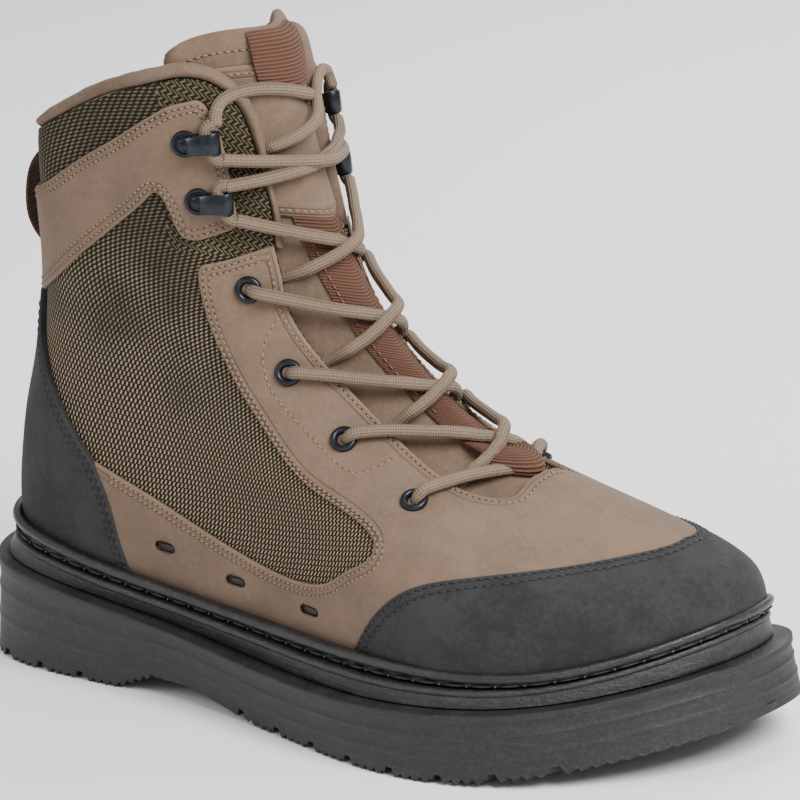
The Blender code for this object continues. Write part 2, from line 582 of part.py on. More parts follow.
class Lattice:
    """One triangulation of the upper that every panel shares, so that their facets run parallel."""

    def __init__(self):
        self.verts = []
        self.edges = []
        self.regions = {}
        self.lines = {}
        for name, line in (("collar", COLLAR_EDGE), ("throat", THROAT_EDGE), ("toe_cap", TOE_CAP_EDGE),
                           ("counter", COUNTER_EDGE), ("stay", BACK_STAY_EDGE), ("band", BAND_EDGE),
                           ("stay_top", STAY_TOP), ("strap_lower", STRAP_LOWER), ("strap_tab", STRAP_TAB), ("strap_upper", STRAP_UPPER)):
            self.lines[name] = [tuple(p) for p in smooth_line(line, EDGE_STEP)]
        self.outline_regions()
        self.add_lines()
        self.add_interior()
        self.triangulate()

    def outline_regions(self):
        """Closed outlines of the whole upper and of each panel, in chart coordinates."""
        lines = self.lines
        collar = lines["collar"] + lines["throat"][1:]
        self.border = [(0.0, 0.0), (1.0, 0.0)] + mirrored(collar)[::-1] + collar[::-1][1:]
        toe = lines["toe_cap"] + mirrored(lines["toe_cap"])[1:]
        half = lines["counter"] + lines["band"][1:] + lines["throat"][1:]
        other = mirrored(half)
        self.regions["toe_cap"] = toe
        self.regions["vamp"] = half + other[1:] + toe[::-1]
        side = lines["counter"] + lines["stay"][1:]
        self.regions["counter"] = side + lines["stay_top"][:-1][::-1] + [(0.0, 0.0)]
        strap = lines["stay_top"] + lines["strap_lower"][1:] + lines["strap_tab"][1:] + lines["strap_upper"][1:]
        self.regions["strap"] = strap

    def add_lines(self):
        """Constraint edges: every line and its mirror, the foot and the back seam."""
        for name in self.lines:
            for line in (self.lines[name], mirrored(self.lines[name])):
                self.add_chain(line)
        foot = sorted(set(COLUMNS) | {1.0 - u for u in COLUMNS} | {TOE_CAP_EDGE[0][0], COUNTER_EDGE[0][0]}
                      | {1.0 - TOE_CAP_EDGE[0][0], 1.0 - COUNTER_EDGE[0][0]})
        self.add_chain([(u, 0.0) for u in foot])
        ends = {COLLAR_EDGE[0][1], STAY_TOP[0][1], STRAP_UPPER[-1][1]}
        rows = sorted({row for row in ROWS if all(abs(row - end) > 0.02 for end in ends)} | ends | {0.0})
        for u in (0.0, 1.0):
            self.add_chain([(u, v) for v in rows])

    def add_chain(self, line):
        """Add a chain of points and the edges between them."""
        start = len(self.verts)
        for u, v in line:
            self.verts.append((u * CHART_WIDTH, v * CHART_HEIGHT))
        for k in range(len(line) - 1):
            self.edges.append((start + k, start + k + 1))

    def add_interior(self):
        """Lattice points that lie well clear of every line."""
        lines = np.array(self.verts)
        starts = lines[[edge[0] for edge in self.edges]]
        ends = lines[[edge[1] for edge in self.edges]]
        for row in ROWS[1:]:
            for u in sorted(set(COLUMNS[1:]) | {1.0 - c for c in COLUMNS[1:]}):
                point = np.array((u * CHART_WIDTH, row * CHART_HEIGHT))
                along = ends - starts
                t = np.clip(((point - starts) * along).sum(1) / (along * along).sum(1), 0.0, 1.0)
                nearest = starts + along * t[:, None]
                if np.linalg.norm(point - nearest, axis=1).min() > CLEAR_OF_EDGE:
                    self.verts.append(tuple(point))

    def triangulate(self):
        """Triangles of the upper's chart, with the back seam closed up."""
        points = [Vector(p) for p in self.verts]
        verts, _, faces, _, _, _ = delaunay_2d_cdt(points, self.edges, [], 0, 1e-6)
        chart = np.array([(p.x / CHART_WIDTH, p.y / CHART_HEIGHT) for p in verts])
        faces = np.array([face[:3] for face in faces])
        middles = chart[faces].mean(1)
        faces = faces[inside(self.border, middles)]
        self.chart = chart
        self.faces = faces
        self.middles = chart[faces].mean(1)

    def panel(self, *regions):
        """Triangles whose middle lies in one of the regions."""
        chosen = np.zeros(len(self.faces), bool)
        for region in regions:
            chosen |= inside(region, self.middles)
        return self.faces[chosen]


def shell(lattice, last, faces, outer, inner, shrink):
    """Closed solid between two offsets of the last, over some of the lattice's triangles."""
    used = np.unique(faces)
    chart = lattice.chart[used].copy()
    renumber = {old: new for new, old in enumerate(used)}
    faces = np.array([[renumber[k] for k in face] for face in faces])
    seam = {}
    merged = np.arange(len(chart))
    for k, (u, v) in enumerate(chart):
        if u < 1e-6:
            seam[round(v, 6)] = k
    for k, (u, v) in enumerate(chart):
        if u > 1.0 - 1e-6 and round(v, 6) in seam:
            merged[k] = seam[round(v, 6)]
    faces = merged[faces]
    counts = {}
    for face in faces:
        for a, b in zip(face, np.roll(face, -1)):
            counts[(a, b)] = counts.get((a, b), 0) + 1
    rim = [(a, b) for a, b in counts if (b, a) not in counts]
    if shrink:
        pull = np.zeros_like(chart)
        scale = np.array((CHART_WIDTH, CHART_HEIGHT))
        for a, b in rim:
            if chart[a, 1] < 1e-6 and chart[b, 1] < 1e-6:
                continue
            along = (chart[b] - chart[a]) * scale
            along[0] -= CHART_WIDTH * round(along[0] / CHART_WIDTH)
            inward = np.array((-along[1], along[0])) / np.linalg.norm(along)
            pull[a] += inward
            pull[b] += inward
        size = np.linalg.norm(pull, axis=1)
        moved = size > 1e-9
        pull[moved] *= (shrink * 1.2 / np.maximum(size[moved], 1.0))[:, None]
        feet = chart[:, 1] < 1e-6
        pull[feet, 1] = 0.0
        chart = chart + pull / scale
    count = len(chart)
    verts = np.concatenate((last.at(chart[:, 0], chart[:, 1], outer(chart[:, 1])),
                            last.at(chart[:, 0], chart[:, 1], inner(chart[:, 1]))))
    quads = [tuple(face) for face in faces]
    quads += [(face[2] + count, face[1] + count, face[0] + count) for face in faces]
    quads += [(b, a, a + count, b + count) for a, b in rim]
    keep = np.unique(np.concatenate([np.array(q) for q in quads]))
    order = {old: new for new, old in enumerate(keep)}
    return verts[keep], [[order[k] for k in q] for q in quads]


def make_upper(lattice, last, collection, shift):
    """Hollow lasted shell, open at collar, throat and foot."""
    verts, faces = shell(lattice, last, lattice.faces, lambda v: np.full(len(v), -(OVERLAY + GAP)),
                         lambda v: -inner_face(v), 0.0)
    return to_object("upper", verts, faces, "mesh", collection, shift)


def make_panels(lattice, last, collection, cutters, shift):
    """Overlays stitched on the upper."""
    regions = lattice.regions
    other = {name: [(1.0 - u, v) for u, v in region] for name, region in regions.items()}
    panels = (
        ("vamp_overlay", (regions["vamp"],), "brown_nubuck", 0.0),
        ("toe_cap", (regions["toe_cap"],), "black_nubuck", TOE_CAP_STEP),
        ("heel_counter", (regions["counter"], other["counter"]), "black_nubuck", TOE_CAP_STEP),
        ("ankle_strap", (regions["strap"], other["strap"]), "brown_nubuck", 0.0),
    )
    for name, outlines, finish, step in panels:
        faces = lattice.panel(*outlines)
        verts, quads = shell(lattice, last, faces, lambda v, step=step: np.full(len(v), step),
                             lambda v: np.full(len(v), -OVERLAY), SEAM_GAP)
        to_object(name, verts, quads, finish, collection, shift)
    cut_drain_slots(last, bpy.data.objects["vamp_overlay"], cutters, shift)


def make_insole(sole, last, collection, shift):
    """Footbed on the midsole, clear of the upper's inner face."""
    places = np.array(list(COLUMNS) + [1.0 - u for u in COLUMNS[1:-1]][::-1])
    loops = []
    for up in (0.0, INSOLE_THICKNESS):
        ring = last.at(places, up / UPPER_HEIGHT * 1.6, -(inner_face(0.0) + INSOLE_CLEARANCE))
        ring[:, 2] = sole.height("lip", ring[:, 0]) + GAP + up
        loops.append(ring)
    return to_object("insole", *loft(loops), "lining", collection, shift)


class Tongue:
    """Padded sheet that follows the inside of the shaft and the throat."""

    def __init__(self, last):
        self.last = last
        self.ways = np.array([row[0] for row in TONGUE_ROWS])
        self.halves = np.array([row[1] for row in TONGUE_ROWS])

    def chart(self, across, row):
        """Place round the boot and way up, for a share across and a row."""
        u = 0.5 + across * np.interp(row, self.ways, self.halves)
        high = np.clip((row - 0.93) / (self.ways[-1] - 0.93), 0.0, 1.0)
        return u, row - TONGUE_TOP_DROP * high * across**2

    def at(self, across, row, depth):
        """Point on the tongue, depth metres under its front face."""
        u, v = self.chart(np.asarray(across, float), np.asarray(row, float))
        return self.last.at(u, v, -(inner_face(v) + SOFT_CLEARANCE + depth))


def make_tongue(tongue, collection, shift):
    """Padded tongue, thin at its edges."""
    columns = np.array(TONGUE_COLUMNS)
    rows = tongue.ways
    across, up = np.meshgrid(columns, rows)
    across = across.ravel()
    up = up.ravel()
    swell = (1 - across**4) * np.interp(up, (rows[0], 0.7, 0.9, 1.0, rows[-1]), (0.1, 0.4, 1.0, 1.0, 0.45))
    depth = TONGUE_EDGE + (TONGUE_THICKNESS - TONGUE_EDGE) * swell
    edge = 0.18 * TONGUE_THICKNESS * np.abs(across)**6
    front = tongue.at(across, up, edge)
    back = tongue.at(across, up, depth + edge)
    return to_object("tongue", *sheet(front, back, len(columns), len(rows)), "brown_nubuck", collection, shift)


def chart_scale(last, u, v):
    """Metres for one unit of u and of v at places on the last."""
    small = 0.002
    across = last.points(u + small, v) - last.points(u - small, v)
    up = last.points(u, v + small) - last.points(u, v - small)
    return np.column_stack((np.linalg.norm(across, axis=1), np.linalg.norm(up, axis=1))) / (2 * small)


def beside(last, line, side):
    """Chart points that lie side metres to the left of a chart line, seen from outside."""
    scale = chart_scale(last, line[:, 0], line[:, 1])
    along = np.gradient(line, axis=0) * scale
    left = np.column_stack((-along[:, 1], along[:, 0])) / np.linalg.norm(along, axis=1)[:, None]
    return line + left * np.reshape(side, (-1, 1)) / scale


def tube_faces(rings):
    """Vertices and faces of a capped tube, from rings of points that turn left to right along it."""
    count, sides = rings.shape[:2]
    faces = []
    for k in range(count - 1):
        for i in range(sides):
            j = (i + 1) % sides
            faces.append((k * sides + i, (k + 1) * sides + i, (k + 1) * sides + j, k * sides + j))
    faces.append(tuple(range(sides)))
    faces.append(tuple((count - 1) * sides + i for i in range(sides))[::-1])
    return rings.reshape(-1, 3), faces


def around(line):
    """A lateral line from its front end round the back to the medial front."""
    lateral = np.array(line)[::-1]
    medial = lateral[:-1][::-1] * (-1.0, 1.0)
    return np.concatenate((lateral, medial))


def make_collar_roll(lattice, last, collection, shift):
    """Padded binding on the collar's edge, thinner down the front to the top of the throat."""
    line = around(lattice.lines["collar"])
    low = np.clip((0.960 - line[:, 1]) / 0.05, 0.0, 1.0) * (np.abs(line[:, 0]) > 0.44)
    high = COLLAR_ROLL_HEIGHT + (COLLAR_ROLL_LOW - COLLAR_ROLL_HEIGHT) * low
    rings = []
    for turn in np.linspace(0.0, 2 * math.pi, 7)[:-1]:
        chart = beside(last, line, -(GAP + high / 2 * (1 + math.sin(turn))))
        wall = (WALL + pad(chart[:, 1])) / 2
        rings.append(last.at(chart[:, 0], chart[:, 1], -(OVERLAY + GAP + wall) - (wall + GAP) * math.cos(turn)))
    to_object("collar_roll", *tube_faces(np.stack(rings, axis=1)), "brown_nubuck", collection, shift)


def make_tongue_trim(tongue, collection, shift):
    """Stitched patch, lace keeper and pull loop on the front of the tongue."""
    def piece(name, columns, rows, finish, thickness):
        across, up = np.meshgrid(columns, rows)
        front = tongue.at(across.ravel(), up.ravel(), -(GAP + thickness))
        back = tongue.at(across.ravel(), up.ravel(), -GAP)
        to_object(name, *sheet(front, back, len(columns), len(rows)), finish, collection, shift)
    piece("tongue_patch", PATCH_COLUMNS, (0.890, 0.925, 0.960, 0.992), "brown_nubuck", OVERLAY)
    piece("lace_keeper", TONGUE_COLUMNS[4:-4], (0.570, 0.630, 0.690, 0.745, 0.800, 0.850, 0.884), "webbing", WEBBING)
    piece("tongue_loop", TONGUE_COLUMNS[3:-3], (0.998, 1.012, 1.022, 1.030), "webbing", WEBBING)


def make_heel_loop(last, collection, shift):
    """Webbing loop that stands behind the heel, sewn down at both ends."""
    rows = (0.712, 0.735, 0.765, 0.800, 0.840, 0.880, 0.912, 0.935)
    stand = (0.0, 0.45, 0.85, 1.0, 1.0, 0.8, 0.35, 0.0)
    columns = np.array((-0.5, 0.0, 0.5)) * PULL_LOOP_WIDTH
    front = []
    back = []
    for row, share in zip(rows, stand):
        line = np.column_stack((columns / chart_scale(last, np.zeros(1), np.array([row]))[0, 0], np.full(3, row)))
        out = GAP + PULL_LOOP_STAND * share
        back.append(last.at(line[:, 0], line[:, 1], out))
        front.append(last.at(line[:, 0], line[:, 1], out + WEBBING))
    solid = sheet(np.concatenate(front), np.concatenate(back), 3, len(rows))
    to_object("heel_pull_loop", *solid, "webbing", collection, shift)


def place_frame(last, u, v):
    """Point on the overlay's face with its directions forwards round the boot, up and out."""
    small = 0.004
    centre = last.at(u, v)[0]
    forward = last.at(u + small, v)[0] - last.at(u - small, v)[0]
    up = last.at(u, v + small)[0] - last.at(u, v - small)[0]
    out = np.cross(forward, up)
    out /= np.linalg.norm(out)
    forward -= out * forward.dot(out)
    forward /= np.linalg.norm(forward)
    return centre, forward, np.cross(out, forward), out


def make_eyelets(last, collection, shift):
    """Turned rings beside the throat, four a side."""
    profile = ((EYELET_HOLE, 0.0), (EYELET_RADIUS, 0.0), (EYELET_RADIUS * 0.88, EYELET_HEIGHT),
               (EYELET_HOLE * 1.35, EYELET_HEIGHT))
    for side in ("lateral", "medial"):
        for number, (u, v) in enumerate(EYELETS, 1):
            place = u if side == "lateral" else 1.0 - u
            centre, forward, up, out = place_frame(last, place, v)
            loops = []
            for radius, height in profile:
                turns = np.linspace(0.0, 2 * math.pi, 9)[:-1]
                ring = [centre + forward * math.cos(a) * radius + up * math.sin(a) * radius + out * (EYELET_SEAT + height)
                        for a in turns]
                loops.append(np.array(ring))
            verts, faces = loft(loops, closed=True)
            to_object("eyelet_%s_%d" % (side, number), verts, faces, "metal", collection, shift)


def make_hooks(last, collection, shift):
    """Lace hooks: a base plate whose front edge turns up and back over it."""
    profile = ((0.0, 0.0), (HOOK_LENGTH, 0.0), (HOOK_LENGTH, HOOK_METAL), (HOOK_METAL, HOOK_METAL),
               (HOOK_METAL, HOOK_HEIGHT - HOOK_METAL), (0.66 * HOOK_LENGTH, HOOK_HEIGHT - 0.6 * HOOK_METAL),
               (0.66 * HOOK_LENGTH, HOOK_HEIGHT + 0.4 * HOOK_METAL), (0.0, HOOK_HEIGHT))
    for side in ("lateral", "medial"):
        for number, (u, v) in enumerate(HOOKS, 1):
            place = u if side == "lateral" else 1.0 - u
            centre, forward, up, out = place_frame(last, place, v)
            back = -forward if side == "lateral" else forward
            rings = []
            for half in (-0.5, 0.5):
                rings.append([centre + back * (along - HOOK_LENGTH / 2) + out * (GAP + height)
                              + up * half * HOOK_WIDTH for along, height in profile])
            verts, faces = tube_faces(np.array(rings))
            if side == "lateral":
                faces = [face[::-1] for face in faces]
            to_object("lace_hook_%s_%d" % (side, number), verts, faces, "metal", collection, shift)


def taut(last, start, end):
    """Chart points of the shortest way over the last between two places."""
    count = 4 * STRAND_STEPS + 1
    u = np.linspace(start[0], end[0], count)
    v = np.linspace(start[1], end[1], count)
    step = 0.01
    for _ in range(70):
        for odd in (1, 2):
            chosen = np.arange(odd, count - 1, 2)
            before = last.points(u[chosen - 1], v[chosen - 1])
            after = last.points(u[chosen + 1], v[chosen + 1])
            best = v[chosen]
            least = np.full(len(chosen), np.inf)
            for move in (0.0, -step, step):
                point = last.points(u[chosen], v[chosen] + move)
                length = np.linalg.norm(point - before, axis=1) + np.linalg.norm(after - point, axis=1)
                better = length < least - 1e-9
                least[better] = length[better]
                best = np.where(better, v[chosen] + move, best)
            v[chosen] = best
        step *= 0.93
    return np.column_stack((u, v))


def throat_edge(v):
    """Place of the throat's lateral edge at a way up."""
    rows = THROAT_EDGE[:7][::-1] + ((0.452, 0.900), (0.453, 0.930), (0.452, 0.960))
    return np.interp(v, [row[1] for row in rows], [row[0] for row in rows])


def strand_heights(line, metres, room, start_height):
    """Heights of a strand along its way, as shares: 0 on the lace keeper, 1 on the overlay, 2 a radius higher.

    With room it ends that far short of the throat's far edge, otherwise it goes over it.
    """
    near = metres[np.argmax(line[:, 0] > throat_edge(line[:, 1]))]
    far = metres[np.argmax(line[:, 0] > 1.0 - throat_edge(line[:, 1]))]
    middle = (near + far) / 2
    slope = 0.8 * EDGE_ROOM
    knots = [0.0, max(near - slope, 0.001), near, near + slope, middle]
    heights = [start_height, start_height * 0.92, 1.25, 0.95, 0.0]
    if room:
        return knots + [far - room], heights + [-0.9]
    knots += [far - slope, far, min(far + slope, metres[-1] - 0.001), metres[-1]]
    return knots, heights + heights[-2::-1]


def strand(last, line, room, start_height, name, collection, shift):
    """Lace tube along a chart line, from outside one eyelet or hook to the far side."""
    points = last.points(line[:, 0], line[:, 1])
    medial = line[0, 0] > 0.5
    if medial:
        line = line * (-1.0, 1.0) + (1.0, 0.0)
    metres = np.append(0.0, np.cumsum(np.linalg.norm(np.diff(points, axis=0), axis=1)))
    knots, heights = strand_heights(line, metres, room, start_height)
    steps = np.linspace(0.0, knots[-1], STRAND_STEPS)
    u = np.interp(steps, metres, line[:, 0])
    if medial:
        u = 1.0 - u
    v = np.interp(steps, metres, line[:, 1])
    share = np.interp(steps, knots, heights)
    clearance = np.interp(v, (0.80, 0.84), (LACE_CLEARANCE, LACE_CLEARANCE_TOP))
    bed = -(inner_face(v) + SOFT_CLEARANCE) + WEBBING + clearance + LACE_RADIUS
    over = GAP + LACE_RADIUS
    height = bed + (over - bed) * np.clip(share, 0.0, 1.0) + np.clip(share - 1.0, 0.0, None) * LACE_RADIUS
    height += np.clip(share, None, 0.0) * WEBBING
    middle = last.at(u, v, height)
    along = np.gradient(middle, axis=0)
    along /= np.linalg.norm(along, axis=1)[:, None]
    out = last.at(u, v, height + 0.001) - middle
    out -= along * (out * along).sum(1)[:, None]
    out /= np.linalg.norm(out, axis=1)[:, None]
    across = np.cross(out, along)
    turns = np.linspace(0.0, 2 * math.pi, LACE_SIDES + 1)[:-1]
    rings = np.stack([middle + (out * math.cos(a) + across * math.sin(a)) * LACE_RADIUS for a in turns], axis=1)
    return to_object(name, *tube_faces(rings), "lace", collection, shift)


def crossing(last, name, start, end, room, start_height, collections, shift, lift=0.0):
    """Two mirrored strands from one row of eyelets or hooks to the next, joined where they cross."""
    boot, cutters = collections
    line = taut(last, start, (1.0 - end[0], end[1]))
    line[:, 1] += lift * np.sin(np.linspace(0.0, math.pi, len(line)))
    other = line * (-1.0, 1.0) + (1.0, 0.0)
    first = strand(last, line, room, start_height, name, boot, shift)
    second = strand(last, other, room, start_height, name + "_other", cutters, shift)
    second.hide_render = True
    second.display_type = "WIRE"
    join = first.modifiers.new("join", "BOOLEAN")
    join.operation = "UNION"
    join.object = second


def make_lace(last, collections, shift):
    """Bars and crossings of the lace between the eyelets and the hooks."""
    over_ring = 1.0 + (EYELET_SEAT + EYELET_HEIGHT + 2 * GAP) / LACE_RADIUS
    bar = smooth_line(LOWEST_BAR, EDGE_STEP / 3)
    bar = np.concatenate((bar, bar[:-1][::-1] * (-1.0, 1.0) + (1.0, 0.0)))
    strand(last, bar, 0.0, over_ring, "lace_lowest_bar", collections[0], shift)
    for number in range(3):
        crossing(last, "lace_crossing_%d" % (number + 1), EYELETS[number + 1], EYELETS[number], CROSSING_ROOM[number], over_ring,
                 collections, shift, CROSSING_LIFT[number])
    beyond = HOOK_LENGTH / 2 + 3 * GAP
    beside_hook = HOOK_WIDTH / 2 + LACE_RADIUS
    low_hook, top_hook = HOOKS
    crossing(last, "lace_crossing_4", near_hook(last, low_hook, beyond, -beside_hook), EYELETS[3], EDGE_ROOM, 1.6,
             collections, shift)
    crossing(last, "lace_crossing_5", near_hook(last, low_hook, beyond, beside_hook),
             near_hook(last, top_hook, beyond, -beside_hook), 0.0, 1.6, collections, shift)


def near_hook(last, hook, forward, up):
    """Chart place that lies forward of a hook's middle and up from it, in metres."""
    scale = chart_scale(last, np.array(hook[:1]), np.array(hook[1:]))[0]
    return hook[0] + forward / scale[0], hook[1] + up / scale[1]


def cut_drain_slots(last, item, cutters, shift):
    """Slots through the low side bands of the vamp overlay, three a side."""
    half = SLOT_WIDTH / 2
    straight = SLOT_LENGTH / 2 - half
    outline = []
    for turn in np.linspace(-math.pi / 2, math.pi / 2, 3):
        outline.append((straight + half * math.cos(turn), half * math.sin(turn)))
    outline += [(-x, -y) for x, y in outline]
    verts = []
    faces = []
    for side in ("lateral", "medial"):
        for u, v in DRAIN_SLOTS:
            centre, forward, up, out = place_frame(last, u if side == "lateral" else 1.0 - u, v)
            rings = []
            for height in (-2 * OVERLAY, OVERLAY):
                rings.append([centre + forward * x + up * y + out * height for x, y in outline])
            ring_verts, ring_faces = tube_faces(np.array(rings))
            faces += [tuple(len(verts) + k for k in face[::-1]) for face in ring_faces]
            verts += ring_verts.tolist()
    cutter = to_object("slot_cutter", verts, faces, "rubber", cutters, shift)
    cutter.hide_render = True
    cutter.display_type = "WIRE"
    cut = item.modifiers.new("slots", "BOOLEAN")
    cut.operation = "DIFFERENCE"
    cut.object = cutter


def sheet(front, back, wide, high):
    """Closed solid between two grids of the same size."""
    count = wide * high
    faces = []
    for j in range(high - 1):
        for i in range(wide - 1):
            a = j * wide + i
            quad = (a, a + 1, a + 1 + wide, a + wide)
            faces.append(quad)
            faces.append(tuple(k + count for k in quad[::-1]))
    rim = [i for i in range(wide)]
    rim += [j * wide + wide - 1 for j in range(1, high)]
    rim += [(high - 1) * wide + i for i in range(wide - 2, -1, -1)]
    rim += [j * wide for j in range(high - 2, 0, -1)]
    for a, b in zip(rim, rim[1:] + rim[:1]):
        faces.append((b, a, a + count, b + count))
    return np.concatenate((front, back)), faces


def main():
    """Build the boot."""
    clear_scene()
    boot = new_collection("wading_boot")
    cutters = new_collection("cutters")
    sole = Sole()
    last = Last(sole)
    shift = sole.centre
    make_outsole(sole, boot, cutters, shift)
    make_midsole(sole, boot, shift)
    make_welt(sole, last, boot, shift)
    make_insole(sole, last, boot, shift)
    lattice = Lattice()
    make_upper(lattice, last, boot, shift)
    make_panels(lattice, last, boot, cutters, shift)
    make_collar_roll(lattice, last, boot, shift)
    tongue = Tongue(last)
    make_tongue(tongue, boot, shift)
    make_tongue_trim(tongue, boot, shift)
    make_heel_loop(last, boot, shift)
    make_eyelets(last, boot, shift)
    make_hooks(last, boot, shift)
    make_lace(last, (boot, cutters), shift)


main()
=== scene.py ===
"""Right wading boot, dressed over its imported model.

Metres, +Z up, toe towards +X. The wearer's left side is +Y, which is the medial side of a right boot.
Pieces are worked out with the heel at x = 0, then moved so that the sole is centred on the origin.
"""

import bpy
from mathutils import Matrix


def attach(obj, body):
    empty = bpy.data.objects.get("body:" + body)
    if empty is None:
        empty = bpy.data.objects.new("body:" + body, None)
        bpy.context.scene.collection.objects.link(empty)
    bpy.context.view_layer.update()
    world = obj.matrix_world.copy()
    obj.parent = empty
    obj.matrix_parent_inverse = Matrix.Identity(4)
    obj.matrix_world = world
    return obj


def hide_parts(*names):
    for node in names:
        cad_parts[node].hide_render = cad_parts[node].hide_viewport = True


bl_info = {
    "name": "Wading Boot",
    "version": (1, 0, 0),
    "blender": (4, 5, 0),
    "location": "View3D > Sidebar > Boot",
    "description": "Builds the panels, sole, tongue, fittings and laces of a wading boot",
    "category": "Add Mesh",
}

import bpy
import bmesh
import math
import numpy as np
from bpy.props import FloatProperty, FloatVectorProperty, PointerProperty
from mathutils import Matrix, Vector
from mathutils.geometry import delaunay_2d_cdt
from mathutils.kdtree import KDTree

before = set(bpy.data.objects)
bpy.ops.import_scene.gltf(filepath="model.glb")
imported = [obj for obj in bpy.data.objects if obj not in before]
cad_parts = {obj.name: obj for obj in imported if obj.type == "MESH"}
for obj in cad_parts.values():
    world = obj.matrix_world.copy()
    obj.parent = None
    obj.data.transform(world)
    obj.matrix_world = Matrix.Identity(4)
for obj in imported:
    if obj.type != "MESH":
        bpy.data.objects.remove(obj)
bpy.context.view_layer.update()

# Driving sizes of the sole
SOLE_LENGTH = 0.320
BALL_WIDTH = 0.1256
SEAT_HEIGHT = 0.0451
TOE_SPRING = 0.0158
ARCH_RISE = 0.0070
LUG_DEPTH = 0.0050
LUG_PITCH = 0.0195
LUG_GROOVE = 0.0040
SIDE_RIDGE = 0.0008
BEAD_RADIUS = 0.0018

# Driving sizes of the upper
UPPER_HEIGHT = 0.152
WALL = 0.0022
OVERLAY = 0.0013
COLLAR_PAD = 0.0035
COLLAR_ROLL_HEIGHT = 0.0045
COLLAR_ROLL_LOW = 0.0022
TONGUE_THICKNESS = 0.0070
TONGUE_EDGE = 0.0022
WEBBING = 0.0016
PULL_LOOP_WIDTH = 0.013
PULL_LOOP_STAND = 0.0060

# Driving sizes of the fittings and the lace
EYELET_RADIUS = 0.0046
EYELET_HOLE = 0.0022
HOOK_LENGTH = 0.011
HOOK_WIDTH = 0.0075
HOOK_HEIGHT = 0.0066
HOOK_METAL = 0.0011
LACE_RADIUS = 0.0022
LACE_CLEARANCE = 0.0022
LACE_CLEARANCE_TOP = 0.0015

# Clearances between pieces
GAP = 0.0003
FEATHER_INSET = 0.0036
SOFT_CLEARANCE = 0.0008
INSOLE_CLEARANCE = 0.0018

# Outline of the sole, heel to toe on the lateral side and back on the medial side.
# Columns: along (share of the sole's length), across (share of the ball width).
SOLE_PLAN = (
    (0.000, 0.000), (0.045, -0.243), (0.150, -0.321), (0.340, -0.340), (0.520, -0.447), (0.670, -0.534),
    (0.810, -0.476), (0.915, -0.301), (0.980, -0.097), (1.000, 0.097), (0.985, 0.291), (0.925, 0.418),
    (0.820, 0.466), (0.700, 0.466), (0.550, 0.398), (0.400, 0.340), (0.200, 0.350), (0.050, 0.262),
)
TOE_POINT = 9
# Where the sole's loops have their points, as shares of its length, on each side.
LOOP_SHARES = (
    0.004, 0.018, 0.042, 0.075, 0.115, 0.160, 0.205, 0.240, 0.270, 0.300, 0.350, 0.405, 0.460, 0.520,
    0.580, 0.635, 0.680, 0.720, 0.760, 0.795, 0.830, 0.860, 0.888, 0.914, 0.938, 0.960, 0.978, 0.990, 0.997,
)
# Heights of the sole's side lines. Columns: share of the length, then each line's height as a share of
# SEAT_HEIGHT.
SIDE_HEIGHTS = {
    "along": (0.03, 0.30, 0.50, 0.68, 0.88, 0.97),
    "ledge": (0.829, 0.632, 0.512, 0.525, 0.636, 0.772),
    "lip": (1.000, 0.798, 0.710, 0.685, 0.796, 0.991),
    "bead": (1.191, 0.922, 0.845, 0.831, 0.907, 1.113),
}
# How far each line lies inside the sole's bottom outline, as a share of BALL_WIDTH.
SIDE_INSETS = {
    "along": (0.00, 0.35, 0.65, 1.00),
    "ledge": (0.035, -0.034, 0.004, 0.029),
    "band": (0.055, 0.013, 0.047, 0.071),
    "lip": (0.086, 0.001, 0.053, 0.080),
    "bead": (0.092, 0.021, 0.074, 0.078),
}
# Height of the sole's underside. Columns: along, share of ARCH_RISE.
UNDERSIDE = ((0.00, 0.0), (0.24, 0.0), (0.30, 1.0), (0.35, 0.95), (0.46, 0.0), (1.00, 0.0))
SPRING_START = 0.72
# Rounding of the midsole's lip.
LIP_RADIUS = 0.0012

# Sections of the last from the feather edge to the collar. x columns are shares of SOLE_LENGTH, z columns and
# sag are shares of UPPER_HEIGHT above the heel seat, half widths are shares of BALL_WIDTH, and swing is the
# share of the centre line's swing that the section keeps.
SECTION_COLUMNS = ("back_x", "back_z", "front_x", "front_z", "heel", "waist", "ball", "toe", "sag", "swing")
SECTIONS = (
    (0.041, 0.001, 0.966, -0.002, 0.227, 0.303, 0.406, 0.358, 0.076, 1.0),
    (0.037, 0.055, 0.975, 0.036, 0.231, 0.307, 0.414, 0.366, 0.089, 1.0),
    (0.036, 0.118, 0.972, 0.091, 0.235, 0.307, 0.410, 0.354, 0.066, 1.0),
    (0.041, 0.203, 0.947, 0.144, 0.231, 0.295, 0.386, 0.303, 0.033, 1.0),
    (0.050, 0.302, 0.884, 0.203, 0.223, 0.283, 0.346, 0.223, 0.007, 0.8),
    (0.066, 0.407, 0.794, 0.259, 0.215, 0.275, 0.299, 0.155, -0.007, 0.6),
    (0.081, 0.526, 0.703, 0.341, 0.211, 0.271, 0.263, 0.119, -0.013, 0.3),
    (0.094, 0.644, 0.616, 0.466, 0.215, 0.279, 0.255, 0.119, -0.007, 0.1),
    (0.103, 0.763, 0.544, 0.624, 0.223, 0.295, 0.271, 0.135, -0.007, 0.0),
    (0.109, 0.888, 0.491, 0.861, 0.231, 0.311, 0.295, 0.159, -0.013, 0.0),
    (0.119, 0.999, 0.450, 1.210, 0.239, 0.318, 0.311, 0.183, -0.039, 0.0),
)
# Stations round a section: place round it (0 and 1 at the back seam, 0.5 at the front), share of the way from
# back to front, half width column, side.
STATIONS = (
    (0.000, 0.00, None, 0), (0.075, 0.09, "heel", -1), (0.195, 0.33, "waist", -1), (0.345, 0.62, "ball", -1),
    (0.450, 0.87, "toe", -1), (0.500, 1.00, None, 0), (0.550, 0.88, "toe", 1), (0.645, 0.68, "ball", 1),
    (0.790, 0.36, "waist", 1), (0.920, 0.09, "heel", 1),
)
